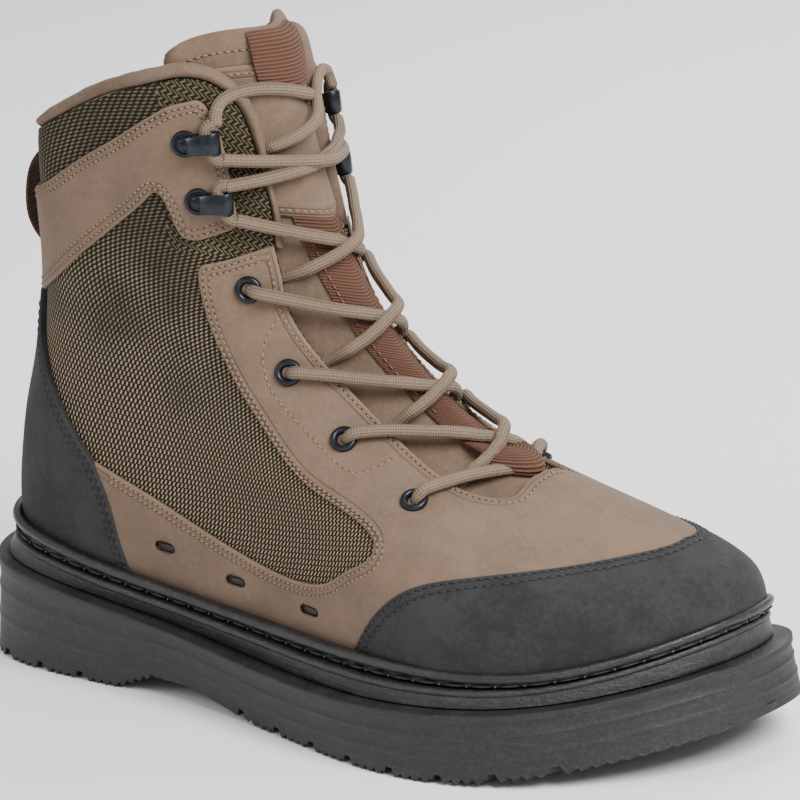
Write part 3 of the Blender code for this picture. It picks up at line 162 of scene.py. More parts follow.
# Sag of a section below its straight line and swing of its centre line. Columns: way to the front, share.
SAG_CURVE = ((0.0, 0.0), (0.30, 0.79), (0.50, 1.0), (0.68, 1.0), (0.88, 0.70), (1.0, 0.0))
SWING_CURVE = ((0.0, 0.0), (0.34, -0.004), (0.65, -0.024), (0.87, 0.012), (1.0, 0.072))

# Lines on the upper, as (place round the boot, way up from feather edge to collar), on the lateral side.
# The medial side mirrors them.
COLLAR_EDGE = ((0.0, 0.980), (0.133, 0.982), (0.208, 0.990), (0.285, 0.995), (0.383, 0.992), (0.425, 0.988),
               (0.443, 0.978), (0.452, 0.960), (0.453, 0.930), (0.452, 0.900), (0.445, 0.865))
THROAT_EDGE = ((0.445, 0.865), (0.440, 0.830), (0.432, 0.790), (0.430, 0.735), (0.432, 0.680), (0.435, 0.585),
               (0.440, 0.525), (0.447, 0.493), (0.457, 0.488), (0.468, 0.512), (0.485, 0.550), (0.500, 0.562))
TOE_CAP_EDGE = ((0.330, 0.0), (0.337, 0.080), (0.346, 0.150), (0.362, 0.220), (0.385, 0.280), (0.408, 0.313),
                (0.438, 0.332), (0.470, 0.352), (0.500, 0.372))
COUNTER_EDGE = ((0.150, 0.0), (0.147, 0.095), (0.143, 0.185), (0.138, 0.270), (0.128, 0.355))
BACK_STAY_EDGE = ((0.128, 0.355), (0.113, 0.405), (0.095, 0.465), (0.072, 0.530), (0.050, 0.610),
                  (0.042, 0.655))
BAND_EDGE = ((0.128, 0.355), (0.173, 0.310), (0.208, 0.270), (0.247, 0.235), (0.285, 0.220), (0.312, 0.235),
             (0.340, 0.290), (0.368, 0.340), (0.376, 0.375), (0.362, 0.420), (0.335, 0.465), (0.323, 0.560),
             (0.320, 0.655), (0.330, 0.735), (0.346, 0.800), (0.358, 0.828), (0.376, 0.838), (0.417, 0.852),
             (0.445, 0.865))
STAY_TOP = ((0.0, 0.630), (0.042, 0.655))
STRAP_LOWER = ((0.042, 0.655), (0.090, 0.710), (0.145, 0.780), (0.233, 0.858), (0.325, 0.908))
STRAP_TAB = ((0.325, 0.908), (0.338, 0.908), (0.347, 0.893), (0.350, 0.875), (0.360, 0.865), (0.388, 0.868),
             (0.412, 0.876), (0.425, 0.888), (0.430, 0.920), (0.432, 0.950), (0.428, 0.968), (0.415, 0.976),
             (0.383, 0.975))
STRAP_UPPER = ((0.383, 0.975), (0.325, 0.967), (0.268, 0.955), (0.182, 0.930), (0.113, 0.897), (0.0, 0.858))
DRAIN_SLOTS = ((0.178, 0.203), (0.233, 0.170), (0.298, 0.157))
SLOT_LENGTH = 0.0085
SLOT_WIDTH = 0.0026

# Centres of the eyelets and the lace hooks, lowest first, on the lateral side.
EYELETS = ((0.417, 0.465), (0.398, 0.570), (0.393, 0.685), (0.408, 0.812))
HOOKS = ((0.408, 0.903), (0.411, 0.948))

# Way of the lowest bar of lace, from the lateral eyelet to the end of the lace keeper.
LOWEST_BAR = ((0.417, 0.465), (0.436, 0.497), (0.460, 0.540), (0.482, 0.572), (0.500, 0.582))
# The lower crossings ride up the instep and the lowest stops short, clear of the lowest bar.
CROSSING_LIFT = (0.046, 0.014, 0.0)

# How far up the foot is drawn in to the feather line, and the rough metres for one unit of u and of v.
FOOT_FADE = 0.45
CHART_WIDTH = 0.60
CHART_HEIGHT = 0.19
# Rows where the collar's padding starts and is full.
PAD_START = 0.80
PAD_FULL = 0.95

# Tongue. Columns: way up, half width as a share of the way round the boot.
TONGUE_ROWS = ((0.455, 0.070), (0.510, 0.078), (0.570, 0.084), (0.630, 0.088), (0.690, 0.092), (0.745, 0.095),
               (0.800, 0.098), (0.850, 0.101), (0.890, 0.105), (0.925, 0.112), (0.960, 0.120), (0.992, 0.126),
               (1.012, 0.122), (1.022, 0.112))
TONGUE_TOP_DROP = 0.010

# Spacing of the points on the panels, on the mesh fabric and along their edges
GRID = 0.0017
FABRIC_GRID = 0.0030
LINE_STEP = 0.0020
# Points on each side of the outsole's loops and of the midsole's and welt's
SOLE_STEPS = 760
BAND_STEPS = 420
# Rows of points beside a panel's rim, and its rounding
RIM_ROWS = (0.00025, 0.0006, 0.0011)
RIM_ROUNDING = 0.0011
# Rows of stitches from the edge of the brown and of the black panels, and the one row on the throat
STITCH_ROWS = (0.0016, 0.0037)
CAP_ROWS = (0.0015, 0.0041)
THROAT_ROW = 0.0030
# How far the black panels and the strap stand out over the vamp
CAP_STEP = 0.0009
STRAP_STEP = 0.0004
# Pitch of the webbings' ribs
RIB = 0.0013
HEEL_RIB = 0.0015
# Share of the model's plate that the hooks' plates are long
HOOK_REACH = 1.45
# Where the lace passes a hook: clear of its tip, beside it, and how high
HOOK_BEYOND = HOOK_LENGTH / 2 + 3 * GAP
HOOK_BESIDE = HOOK_WIDTH / 2 + LACE_RADIUS
HOOK_LACE_HEIGHT = 0.0043
# Close tables of the last: places round it, rows up it and the lowest row
TABLE_PLACES = 2880
TABLE_ROWS = 1140
TABLE_STEP = 0.001
TABLE_START = -0.02
# Camera: focal length and optical centre in the photo's pixels, distance, aim and angles
PICTURE = 800.0
FOCAL_LENGTH = 6722.9
OPTICAL_CENTRE = (356.5, 416.35)
CAMERA_DISTANCE = 2.3165
CAMERA_AIM = (0.159, 0.0, 0.100)
CAMERA_TURN, CAMERA_RISE, CAMERA_ROLL = 38.64, 16.91, -3.45
SENSOR = 36.0


def second_derivatives(knots, values, period):
    """Second derivatives of the cubic spline through the values: natural, or closed with a period."""
    count = len(knots)
    if period:
        steps = np.diff(np.append(knots, knots[0] + period))
        slopes = (np.roll(values, -1, 0) - values) / steps[:, None]
        system = np.zeros((count, count))
        for i in range(count):
            system[i, i] = 2 * (steps[i - 1] + steps[i])
            system[i, i - 1] += steps[i - 1]
            system[i, (i + 1) % count] += steps[i]
        return steps, np.linalg.solve(system, 6 * (slopes - np.roll(slopes, 1, 0)))
    steps = np.diff(knots)
    slopes = np.diff(values, axis=0) / steps[:, None]
    system = np.eye(count)
    right = np.zeros_like(values)
    for i in range(1, count - 1):
        system[i, i - 1:i + 2] = steps[i - 1], 2 * (steps[i - 1] + steps[i]), steps[i]
        right[i] = 6 * (slopes[i] - slopes[i - 1])
    return steps, np.linalg.solve(system, right)


def spline(knots, values, at, period=None):
    """Read the cubic spline through the values at the places in at. Past its ends it runs straight on."""
    knots = np.asarray(knots, float)
    values = np.asarray(values, float)
    flat = values.ndim == 1
    if flat:
        values = values[:, None]
    at = np.atleast_1d(np.asarray(at, float))
    steps, bend = second_derivatives(knots, values, period)
    if period:
        at = (at - knots[0]) % period + knots[0]
        low = np.clip(np.searchsorted(knots, at, "right") - 1, 0, len(knots) - 1)
        high = (low + 1) % len(knots)
        inside = at
    else:
        inside = np.clip(at, knots[0], knots[-1])
        low = np.clip(np.searchsorted(knots, inside, "right") - 1, 0, len(knots) - 2)
        high = low + 1
    span = steps[low][:, None]
    t = (inside - knots[low])[:, None]
    slope = (values[high] - values[low]) / span - span * (2 * bend[low] + bend[high]) / 6
    result = values[low] + slope * t + bend[low] / 2 * t**2 + (bend[high] - bend[low]) / (6 * span) * t**3
    if not period:
        end_slope = slope + bend[low] * t + (bend[high] - bend[low]) / (2 * span) * t**2
        result = result + end_slope * (at - inside)[:, None]
    return result[:, 0] if flat else result


def smooth_line(points, step):
    """Points at about one step along the smooth curve through the given ones, ends included."""
    points = np.asarray(points, float)
    lengths = np.linalg.norm(np.diff(points, axis=0) * (CHART_WIDTH, CHART_HEIGHT), axis=1)
    places = np.append(0.0, np.cumsum(lengths))
    count = max(2, int(round(places[-1] / step)) + 1)
    return spline(places, points, np.linspace(0.0, places[-1], count))


def distance_along(points):
    """Metres run at each point of a line."""
    return np.append(0.0, np.cumsum(np.linalg.norm(np.diff(points, axis=0), axis=1)))


def point_at(metres, points, way):
    """Point of a line after some metres."""
    return np.array([np.interp(way, metres, points[:, axis]) for axis in range(3)])


def through(path, count):
    """A number of rows on the smooth curve through the given rows."""
    return spline(np.arange(len(path)), np.array(path), np.linspace(0, len(path) - 1, count))


class Sole:
    """Outline of the sole and the lines up its side."""

    def __init__(self, steps=0):
        self.steps = steps
        plan = np.array(SOLE_PLAN) * (SOLE_LENGTH, BALL_WIDTH)
        lengths = np.linalg.norm(np.roll(plan, -1, 0) - plan, axis=1)
        places = np.append(0.0, np.cumsum(lengths)[:-1])
        self.plan = plan
        self.places = places
        self.total = lengths.sum()
        self.points = self.loop_points()
        before = np.roll(self.points, 1, 0)
        after = np.roll(self.points, -1, 0)
        along = after - before
        normals = np.column_stack((along[:, 1], -along[:, 0]))
        self.normals = normals / np.linalg.norm(normals, axis=1)[:, None]
        low = self.points.min(0)
        high = self.points.max(0)
        self.centre = (low + high) / 2

    def loop_points(self):
        """Loop of outline points: heel, lateral side, toe, medial side."""
        toe = self.places[TOE_POINT]
        if self.steps:
            lateral = np.linspace(0.0, toe, self.steps + 1)
            medial = np.linspace(toe, self.total, self.steps + 1)[1:-1]
            return spline(self.places, self.plan, np.concatenate((lateral, medial)), self.total)
        fine = 1200
        lateral = spline(self.places, self.plan, np.linspace(0.0, toe, fine), self.total)
        medial = spline(self.places, self.plan, np.linspace(self.total, toe, fine), self.total)
        rows = [lateral[0]]
        for share in LOOP_SHARES:
            rows.append(lateral[np.argmax(lateral[:, 0] >= share * SOLE_LENGTH)])
        rows.append(lateral[-1])
        for share in LOOP_SHARES[::-1]:
            rows.append(medial[np.argmax(medial[:, 0] >= share * SOLE_LENGTH)])
        return np.array(rows)

    def fine_line(self, line, further):
        """Closely spaced loop, further inside than a side line."""
        points = spline(self.places, self.plan, np.linspace(0.0, self.total, 2001)[:-1], self.total)
        along = np.roll(points, -1, 0) - np.roll(points, 1, 0)
        normals = np.column_stack((along[:, 1], -along[:, 0]))
        normals /= np.linalg.norm(normals, axis=1)[:, None]
        return points - normals * (self.inset(line, points[:, 0]) + further)[:, None]

    def height(self, line, x):
        """Height of a side line above the ground, level at the very heel and toe."""
        heights = np.array(SIDE_HEIGHTS[line]) * SEAT_HEIGHT
        along = np.array(SIDE_HEIGHTS["along"]) * SOLE_LENGTH
        return spline(along, heights, np.clip(x, along[0], along[-1]))

    def inset(self, line, x):
        """How far a side line lies inside the bottom outline."""
        insets = np.array(SIDE_INSETS[line]) * BALL_WIDTH
        return spline(np.array(SIDE_INSETS["along"]) * SOLE_LENGTH, insets, np.clip(x, 0.0, SOLE_LENGTH))

    def underside(self, x):
        """Height of the tread's lowest face: flat at heel and ball, raised at the arch and the toe."""
        along = x / SOLE_LENGTH
        arch = np.interp(along, [row[0] for row in UNDERSIDE], [row[1] for row in UNDERSIDE])
        past = np.clip((along - SPRING_START) / (1.0 - SPRING_START), 0.0, 1.0)
        return ARCH_RISE * arch + TOE_SPRING * past**1.6

    def line(self, insets, height):
        """Loop moved in from the outline by insets, at the height that a function gives for its x."""
        moved = self.points - self.normals * np.asarray(insets)[:, None]
        return np.column_stack((moved, height(moved[:, 0])))

    def between(self, low, top, share, up=0.0):
        """Height function that lies a share of the way from one side line to another."""
        def height(x):
            bottom = self.underside(x) if low == "underside" else self.height(low, x) + GAP
            return bottom + (self.height(top, x) - bottom) * share + up
        return height


class Last:
    """Surface of the lasted boot: the outer face of its overlays."""

    def __init__(self, sole):
        self.sole = sole
        self.ways = np.linspace(0.0, 1.0, len(SECTIONS))
        self.table = np.array(SECTIONS)
        self.places = np.array([station[0] for station in STATIONS])
        self.foot_places = np.linspace(0.0, 1.0, 721)
        rows = np.linspace(TABLE_START, TABLE_START + TABLE_ROWS * TABLE_STEP, TABLE_ROWS + 1)
        self.fine_stations = self.stations(rows)
        places = np.linspace(0.0, 1.0, TABLE_PLACES + 1)
        self.fine_weights = spline(self.places, np.eye(len(STATIONS)), places, 1.0)
        foot = self.section(self.foot_places, np.zeros(721))[:, :2]
        feather = sole.fine_line("bead", FEATHER_INSET)
        gaps = np.linalg.norm(foot[:, None] - feather[None], axis=2)
        self.foot_pull = feather[np.argmin(gaps, axis=1)] - foot

    def stations(self, v):
        """Points of the stations on the sections at v."""
        rows = dict(zip(SECTION_COLUMNS, spline(self.ways, self.table, v).T))
        result = np.zeros((len(v), len(STATIONS), 3))
        for index, (_, way, half, side) in enumerate(STATIONS):
            sag = spline(*zip(*SAG_CURVE), way)[0] * rows["sag"]
            swing = spline(*zip(*SWING_CURVE), way)[0] * rows["swing"] * BALL_WIDTH
            width = rows[half] * BALL_WIDTH if half else 0.0
            x = (rows["back_x"] + (rows["front_x"] - rows["back_x"]) * way) * SOLE_LENGTH
            z = rows["back_z"] + (rows["front_z"] - rows["back_z"]) * way - sag
            result[:, index, 0] = x
            result[:, index, 1] = side * width + swing
            result[:, index, 2] = SEAT_HEIGHT + z * UPPER_HEIGHT
        return result

    def section(self, u, v):
        """Points of the splines through the stations, read from close tables."""
        place = (u % 1.0) * TABLE_PLACES
        low = np.minimum(place.astype(int), TABLE_PLACES - 1)
        share = (place - low)[:, None]
        weights = self.fine_weights[low] * (1.0 - share) + self.fine_weights[low + 1] * share
        row = np.clip((v - TABLE_START) / TABLE_STEP, 0.0, TABLE_ROWS - 0.001)
        low = row.astype(int)
        share = (row - low)[:, None, None]
        stations = self.fine_stations[low] * (1.0 - share) + self.fine_stations[low + 1] * share
        return np.einsum("ij,ijk->ik", weights, stations)

    def points(self, u, v):
        """Points of the surface. Its foot is drawn in to the feather line and down onto the midsole."""
        result = self.section(u, v)
        fade = np.clip(1.0 - v / FOOT_FADE, 0.0, 1.0)
        fade = fade * fade * (3 - 2 * fade)
        for axis in (0, 1):
            pull = np.interp(u % 1.0, self.foot_places, self.foot_pull[:, axis])
            result[:, axis] += pull * fade
        foot = np.clip(1.0 - v / self.ways[1], 0.0, 1.0)
        base = self.section(u, np.zeros(len(v)))
        pull = np.interp(u % 1.0, self.foot_places, self.foot_pull[:, 0])
        seat = self.sole.height("lip", base[:, 0] + pull) + GAP
        result[:, 2] += (seat - base[:, 2]) * foot
        return result

    def at(self, u, v, offset=0.0):
        """Points moved out along the surface's normal."""
        u = np.atleast_1d(np.asarray(u, float))
        v = np.atleast_1d(np.asarray(v, float))
        u, v = np.broadcast_arrays(u, v)
        small = 0.001
        across = self.points(u + small, v) - self.points(u - small, v)
        up = self.points(u, v + small) - self.points(u, np.maximum(v - small, 0.0))
        normals = np.cross(across, up)
        normals /= np.linalg.norm(normals, axis=1)[:, None]
        result = self.points(u, v) + normals * np.broadcast_to(offset, u.shape)[:, None]
        feet = v < small
        result[feet, 2] = self.sole.height("lip", result[feet, 0]) + GAP
        return result


def loft(loops, closed=False):
    """Faces of a stack of counter-clockwise loops: with ruled end faces, or closed into a ring."""
    count = len(loops[0])
    verts = np.concatenate(loops)
    faces = []
    levels = len(loops)
    for level in range(levels if closed else levels - 1):
        low = level * count
        high = (level + 1) % levels * count
        for i in range(count):
            j = (i + 1) % count
            faces.append((low + i, low + j, high + j, high + i))
    if not closed:
        top = (levels - 1) * count
        half = count // 2
        for i in range(half):
            ends = [i, i + 1, count - i - 1, (count - i) % count]
            ring = list(dict.fromkeys(ends))
            faces.append([top + k for k in ring])
            faces.append(ring[::-1])
    return verts, faces


def pad(v):
    """Extra thickness of the padded collar."""
    t = np.clip((np.asarray(v, float) - PAD_START) / (PAD_FULL - PAD_START), 0.0, 1.0)
    return COLLAR_PAD * t * t * (3 - 2 * t)


def inner_face(v):
    """Depth of the upper's inner face under the overlays' outer face."""
    return OVERLAY + GAP + WALL + pad(v)


def inside(polygon, points):
    """Which points lie inside a polygon."""
    result = np.zeros(len(points), bool)
    previous = polygon[-1]
    for current in polygon:
        crosses = (current[1] > points[:, 1]) != (previous[1] > points[:, 1])
        rise = previous[1] - current[1]
        if rise != 0.0:
            reach = (previous[0] - current[0]) * (points[:, 1] - current[1]) / rise + current[0]
            result ^= crosses & (points[:, 0] < reach)
        previous = current
    return result


class Tongue:
    """Padded sheet that follows the inside of the shaft and the throat."""

    def __init__(self, last):
        self.last = last
        self.ways = np.array([row[0] for row in TONGUE_ROWS])
        self.halves = np.array([row[1] for row in TONGUE_ROWS])

    def chart(self, across, row):
        """Place round the boot and way up, for a share across and a row."""
        u = 0.5 + across * np.interp(row, self.ways, self.halves)
        high = np.clip((row - 0.93) / (self.ways[-1] - 0.93), 0.0, 1.0)
        return u, row - TONGUE_TOP_DROP * high * across**2

    def at(self, across, row, depth):
        """Point on the tongue, depth metres under its front face."""
        u, v = self.chart(np.asarray(across, float), np.asarray(row, float))
        return self.last.at(u, v, -(inner_face(v) + SOFT_CLEARANCE + depth))


def tube_faces(rings):
    """Vertices and faces of a capped tube, from rings of points that turn left to right along it."""
    count, sides = rings.shape[:2]
    faces = []
    for k in range(count - 1):
        for i in range(sides):
            j = (i + 1) % sides
            faces.append((k * sides + i, (k + 1) * sides + i, (k + 1) * sides + j, k * sides + j))
    faces.append(tuple(range(sides)))
    faces.append(tuple((count - 1) * sides + i for i in range(sides))[::-1])
    return rings.reshape(-1, 3), faces


def sheet(front, back, wide, high):
    """Closed solid between two grids of the same size."""
    count = wide * high
    faces = []
    for j in range(high - 1):
        for i in range(wide - 1):
            a = j * wide + i
            quad = (a, a + 1, a + 1 + wide, a + wide)
            faces.append(quad)
            faces.append(tuple(k + count for k in quad[::-1]))
    rim = [i for i in range(wide)]
    rim += [j * wide + wide - 1 for j in range(1, high)]
    rim += [(high - 1) * wide + i for i in range(wide - 2, -1, -1)]
    rim += [j * wide for j in range(high - 2, 0, -1)]
    for a, b in zip(rim, rim[1:] + rim[:1]):
        faces.append((b, a, a + count, b + count))
    return np.concatenate((front, back)), faces


def linear(red, green, blue):
    """Scene colour of an 8 bit screen colour."""
    result = []
    for value in (red, green, blue):
        share = value / 255.0
        result.append(share / 12.92 if share <= 0.04045 else ((share + 0.055) / 1.055) ** 2.4)
    return tuple(result)


def tint(label, about, red, green, blue):
    """Colour property with a screen colour as its default."""
    return FloatVectorProperty(name=label, description=about, subtype="COLOR", size=3, min=0.0, max=1.0,
                               default=linear(red, green, blue))


def length(label, about, least, default):
    """Property in metres."""
    return FloatProperty(name=label, description=about, unit="LENGTH", subtype="DISTANCE", min=least,
                         default=default)


class WADING_PG_colours(bpy.types.PropertyGroup):
    """Colours of the boot."""

    brown: tint("Brown nubuck", "Vamp, strap, tongue and collar", 111, 92, 77)
    black: tint("Black nubuck", "Toe cap and heel counter", 41, 41, 42)
    yarn: tint("Mesh yarn", "Light yarn of the mesh fabric", 166, 143, 112)
    ground: tint("Mesh ground", "Dark ground of the mesh fabric", 24, 20, 10)
    webbing: tint("Webbing", "Pull loops and lace keeper", 104, 72, 57)
    lace: tint("Lace", "Braided laces", 124, 106, 89)
    rubber: tint("Rubber", "Outsole, midsole and welt", 24, 24, 25)


class WADING_PG_sizes(bpy.types.PropertyGroup):
    """Sizes of the sewn and braided detail."""

    stitch_pitch: length("Stitch pitch", "Distance between the stitches of the brown panels", 0.001, 0.0023)
    cap_pitch: length("Cap stitch pitch", "Distance between the stitches of the black panels", 0.001, 0.0031)
    welt_pitch: length("Welt stitch pitch", "Distance between the stitches of the welt", 0.003, 0.0100)
    thread: length("Thread", "Thickness of the sewing thread", 0.0002, 0.00082)
    mesh_row: length("Mesh row", "Height of one row of the mesh fabric", 0.001, 0.0019)


class Socket:
    """Number from a shader node that takes part in plain sums."""

    def __init__(self, finish, socket):
        self.finish = finish
        self.socket = socket

    def __add__(self, other):
        return self.finish.maths("ADD", self, other)

    def __sub__(self, other):
        return self.finish.maths("SUBTRACT", self, other)

    def __rsub__(self, other):
        return self.finish.maths("SUBTRACT", other, self)

    def __mul__(self, other):
        return self.finish.maths("MULTIPLY", self, other)

    def __truediv__(self, other):
        return self.finish.maths("DIVIDE", self, other)

    __radd__ = __add__
    __rmul__ = __mul__


class Finish:
    """Material made from nodes."""

    def __init__(self, name, roughness=0.8, metallic=0.0, specular=0.4):
        self.material = bpy.data.materials.new(name)
        self.material.use_nodes = True
        self.nodes = self.material.node_tree.nodes
        self.links = self.material.node_tree.links
        self.shader = self.nodes["Principled BSDF"]
        self.shader.inputs["Roughness"].default_value = roughness
        self.shader.inputs["Metallic"].default_value = metallic
        self.shader.inputs["Specular IOR Level"].default_value = specular

    def node(self, kind, settings=None, **inputs):
        """Add a node with its settings and the values or links of its sockets."""
        made = self.nodes.new(kind)
        for name, value in (settings or {}).items():
            setattr(made, name, value)
        for name, value in inputs.items():
            key = int(name[1:]) if name[0] == "_" else name.replace("_", " ")
            self.feed(made.inputs[key], value)
        return made

    def feed(self, target, value):
        """Link a socket, or set its constant."""
        if isinstance(value, Socket):
            self.links.new(value.socket, target)
        elif isinstance(value, bpy.types.NodeSocket):
            self.links.new(value, target)
        else:
            target.default_value = value

    def maths(self, operation, first, second=0.0, third=0.0, clamp=False):
        """Number from a Math node."""
        settings = {"operation": operation, "use_clamp": clamp}
        made = self.node("ShaderNodeMath", settings, _0=first, _1=second, _2=third)
        return Socket(self, made.outputs[0])

    def limit(self, value):
        """Number held between 0 and 1."""
        return self.maths("ADD", value, 0.0, clamp=True)

    def step(self, value, low, high):
        """Smooth step from 0 at low to 1 at high."""
        settings = {"interpolation_type": "SMOOTHSTEP"}
        made = self.node("ShaderNodeMapRange", settings, Value=value, From_Min=low, From_Max=high)
        return Socket(self, made.outputs[0])

    def dip(self, value, middle, width):
        """Smooth hump of 1 at the middle that is 0 past the width."""
        return 1.0 - self.step(self.maths("ABSOLUTE", value - middle), 0.0, width)

    def attribute(self, name):
        """Number stored on the mesh."""
        return Socket(self, self.node("ShaderNodeAttribute", {"attribute_name": name}).outputs["Fac"])

    def place(self, scale=(1.0, 1.0, 1.0), source="Object"):
        """Scaled coordinates."""
        coordinates = self.node("ShaderNodeTexCoord").outputs[source]
        return self.node("ShaderNodeMapping", Vector=coordinates, Scale=scale).outputs[0]

    def axes(self, vector):
        """The three numbers of a vector."""
        split = self.node("ShaderNodeSeparateXYZ", Vector=vector)
        return [Socket(self, output) for output in split.outputs]

    def noise(self, place, scale, detail=2.0, rough=0.5):
        """Noise between 0 and 1."""
        made = self.node("ShaderNodeTexNoise", Vector=place, Scale=scale, Detail=detail, Roughness=rough)
        return Socket(self, made.outputs[0])

    def mix(self, factor, first, second):
        """Colour a share of the way from the first to the second."""
        made = self.nodes.new("ShaderNodeMix")
        made.data_type = "RGBA"
        for key, value in ((0, factor), (6, first), (7, second)):
            if isinstance(value, tuple):
                value = (*value, 1.0)
            self.feed(made.inputs[key], value)
        return made.outputs[2]

    def done(self, colour, height=None, depth=0.001, roughness=None, coat=None):
        """Link the results to the shader. The height is in units of depth."""
        if isinstance(colour, tuple):
            colour = (*colour, 1.0)
        self.feed(self.shader.inputs["Base Color"], colour)
        if roughness is not None:
            self.feed(self.shader.inputs["Roughness"], roughness)
        if coat is not None:
            self.feed(self.shader.inputs["Coat Weight"], coat)
        if height is not None:
            bump = self.node("ShaderNodeBump", Height=height, Distance=depth, Strength=1.0)
            self.links.new(bump.outputs[0], self.shader.inputs["Normal"])
        return self.material


def shaded(colour, share):
    """Colour made darker or lighter by a share."""
    return tuple(min(1.0, value * share) for value in colour)


def colours():
    return bpy.context.scene.wading_colours


def sizes():
    return bpy.context.scene.wading_sizes


def finish(make):
    """Material named after the function that makes it, made when it is first asked for."""
    return bpy.data.materials.get(make.__name__) or make(make.__name__)


def nubuck(name, colour, cloud_low, cloud_high, rows, grain):
    """Napped leather with soft clouds, a light worn rim and troughs under its rows of stitches, darkened with
    painted shade.
    """
    made = Finish(name, roughness=0.86, specular=0.25)
    made.shader.inputs["Sheen Weight"].default_value = 0.03
    made.shader.inputs["Sheen Roughness"].default_value = 0.5
    place = made.place()
    cloud = made.noise(place, 48.0, 5.0, 0.62)
    nap = made.noise(place, 520.0, 4.0, 0.65)
    fine = made.noise(place, 2100.0, 2.0, 0.6)
    rim = made.attribute("rim")
    tone = made.step(cloud * 0.62 + nap * 0.38, 0.38, 0.62)
    base = made.mix(tone, shaded(colour, cloud_low), shaded(colour, cloud_high))
    trough_and_shade = made.dip(rim, rows[0] * 1000, 0.55) + made.dip(rim, rows[1] * 1000, 0.55)
    worn = 1.0 - made.step(rim, 0.25, 0.95)
    # Painted shade: the colour is darkened in the troughs under the rows of stitches.
    base = made.mix(made.limit(trough_and_shade * 0.34), base, shaded(colour, cloud_low * 0.55))
    base = made.mix(made.limit(worn * (0.30 + nap * 0.5)), base, shaded(colour, 1.45))
    pillow = made.dip(rim, (rows[0] + rows[1]) * 500, (rows[1] - rows[0]) * 500)
    height = nap * grain + fine * (grain * 0.5) - trough_and_shade * 0.28 + pillow * 0.10
    return made.done(base, height)


def panel_nubuck(name):
    """Finish of the brown panels."""
    return nubuck(name, tuple(colours().brown), 0.88, 1.10, STITCH_ROWS, 0.22)


def cap_nubuck(name):
    """Finish of the toe cap and the heel counter."""
    return nubuck(name, tuple(colours().black), 0.72, 1.36, CAP_ROWS, 0.24)


def soft_nubuck(name):
    """Brushed padded cloth of the tongue, the collar and the lining's top."""
    made = Finish(name, roughness=0.92, specular=0.18)
    made.shader.inputs["Sheen Weight"].default_value = 0.05
    place = made.place()
    cloud = made.noise(place, 60.0, 4.0, 0.6)
    nap = made.noise(place, 700.0, 4.0, 0.65)
    colour = tuple(colours().brown)
    tone = made.step(cloud * 0.55 + nap * 0.45, 0.34, 0.66)
    base = made.mix(tone, shaded(colour, 0.74), shaded(colour, 1.06))
    return made.done(base, nap * 0.14 + made.noise(place, 2400.0, 2.0) * 0.07)


def mesh_fabric(name):
    """Woven mesh: slanted light yarns in offset rows over a dark ground, in zigzags on the collar."""
    made = Finish(name, roughness=0.82, specular=0.3)
    row = sizes().mesh_row
    across, up, _ = made.axes(made.place(source="UV"))
    place = made.place()
    wobble = made.noise(place, 160.0, 2.0) - 0.5
    lift = (up + wobble * 0.0006) / row
    level = made.maths("FLOOR", lift)
    inside_row = lift - level
    odd = made.maths("MODULO", made.maths("ABSOLUTE", level), 2.0)
    way = made.attribute("way")
    zigzag = made.step(way, 0.845, 0.852) * made.step(made.axes(place)[0], -0.052, -0.048)
    lean = 1.0 - zigzag * odd * 2.0
    along = across / row + odd * 0.5 * (1.0 - zigzag) - (inside_row - 0.5) * lean * 1.05
    beside_yarn = made.maths("ABSOLUTE", made.maths("FRACT", along) - 0.5)
    yarn = 1.0 - made.step(beside_yarn, 0.11, 0.27)
    ends = 1.0 - made.step(made.maths("ABSOLUTE", inside_row - 0.5), 0.34, 0.49)
    yarn = made.limit(yarn * (ends + zigzag * 0.3))
    strands = made.maths("SINE", (across + up) * 9500.0) * 0.5 + 0.5
    patchy = made.noise(place, 42.0, 3.0)
    low = made.step(patchy + (0.80 - way) * 1.5, 0.25, 0.95)
    light = made.mix(low, linear(88, 79, 49), shaded(tuple(colours().yarn), 1.05))
    light = made.mix(strands * 0.35, light, shaded(tuple(colours().yarn), 0.6))
    dark = made.mix(made.noise(place, 900.0), shaded(tuple(colours().ground), 0.35), tuple(colours().ground))
    base = made.mix(yarn, dark, light)
    return made.done(base, yarn * 0.42 + strands * yarn * 0.06, roughness=0.85 - yarn * 0.12)


def lining_cloth(name):
    """Fine lining, dark below and brown at the collar."""
    made = Finish(name, roughness=0.95, specular=0.15)
    across, up, _ = made.axes(made.place(source="UV"))
    weave = made.maths("SINE", across * 5200.0) * made.maths("SINE", up * 5200.0)
    cloud = made.noise(made.place(), 90.0, 3.0)
    way = made.attribute("way")
    low = made.mix(cloud, linear(36, 32, 26), linear(56, 50, 40))
    top = made.mix(cloud, linear(70, 57, 45), linear(98, 82, 66))
    return made.done(made.mix(made.step(way, 0.80, 0.86), low, top), weave * 0.12 + cloud * 0.2)


def webbing_cloth(name, colour, rib, light):
    """Narrow woven webbing with crosswise ribs, with painted shade between the ribs and painted highlight on
    their crests. Its UV is metres along and across.
    """
    made = Finish(name, roughness=0.85, specular=0.25)
    along, across, _ = made.axes(made.place(source="UV"))
    wave = made.maths("SINE", along * (2 * math.pi / rib)) * 0.5 + 0.5
    yarns = made.maths("SINE", across * 7800.0 + made.maths("SINE", along * 2600.0) * 1.2) * 0.5 + 0.5
    cloud = made.noise(made.place(), 260.0, 3.0)
    # Painted shade between the ribs and painted highlight on their crests, mixed with the yarns' own pattern;
    # light is the share of the crests' painted highlight.
    base = made.mix(made.limit(wave * 0.75 + yarns * 0.35 - 0.1), shaded(colour, 0.34), shaded(colour, light))
    base = made.mix(cloud * 0.4, base, shaded(colour, 0.7))
    return made.done(base, wave * 0.34 + yarns * 0.12)


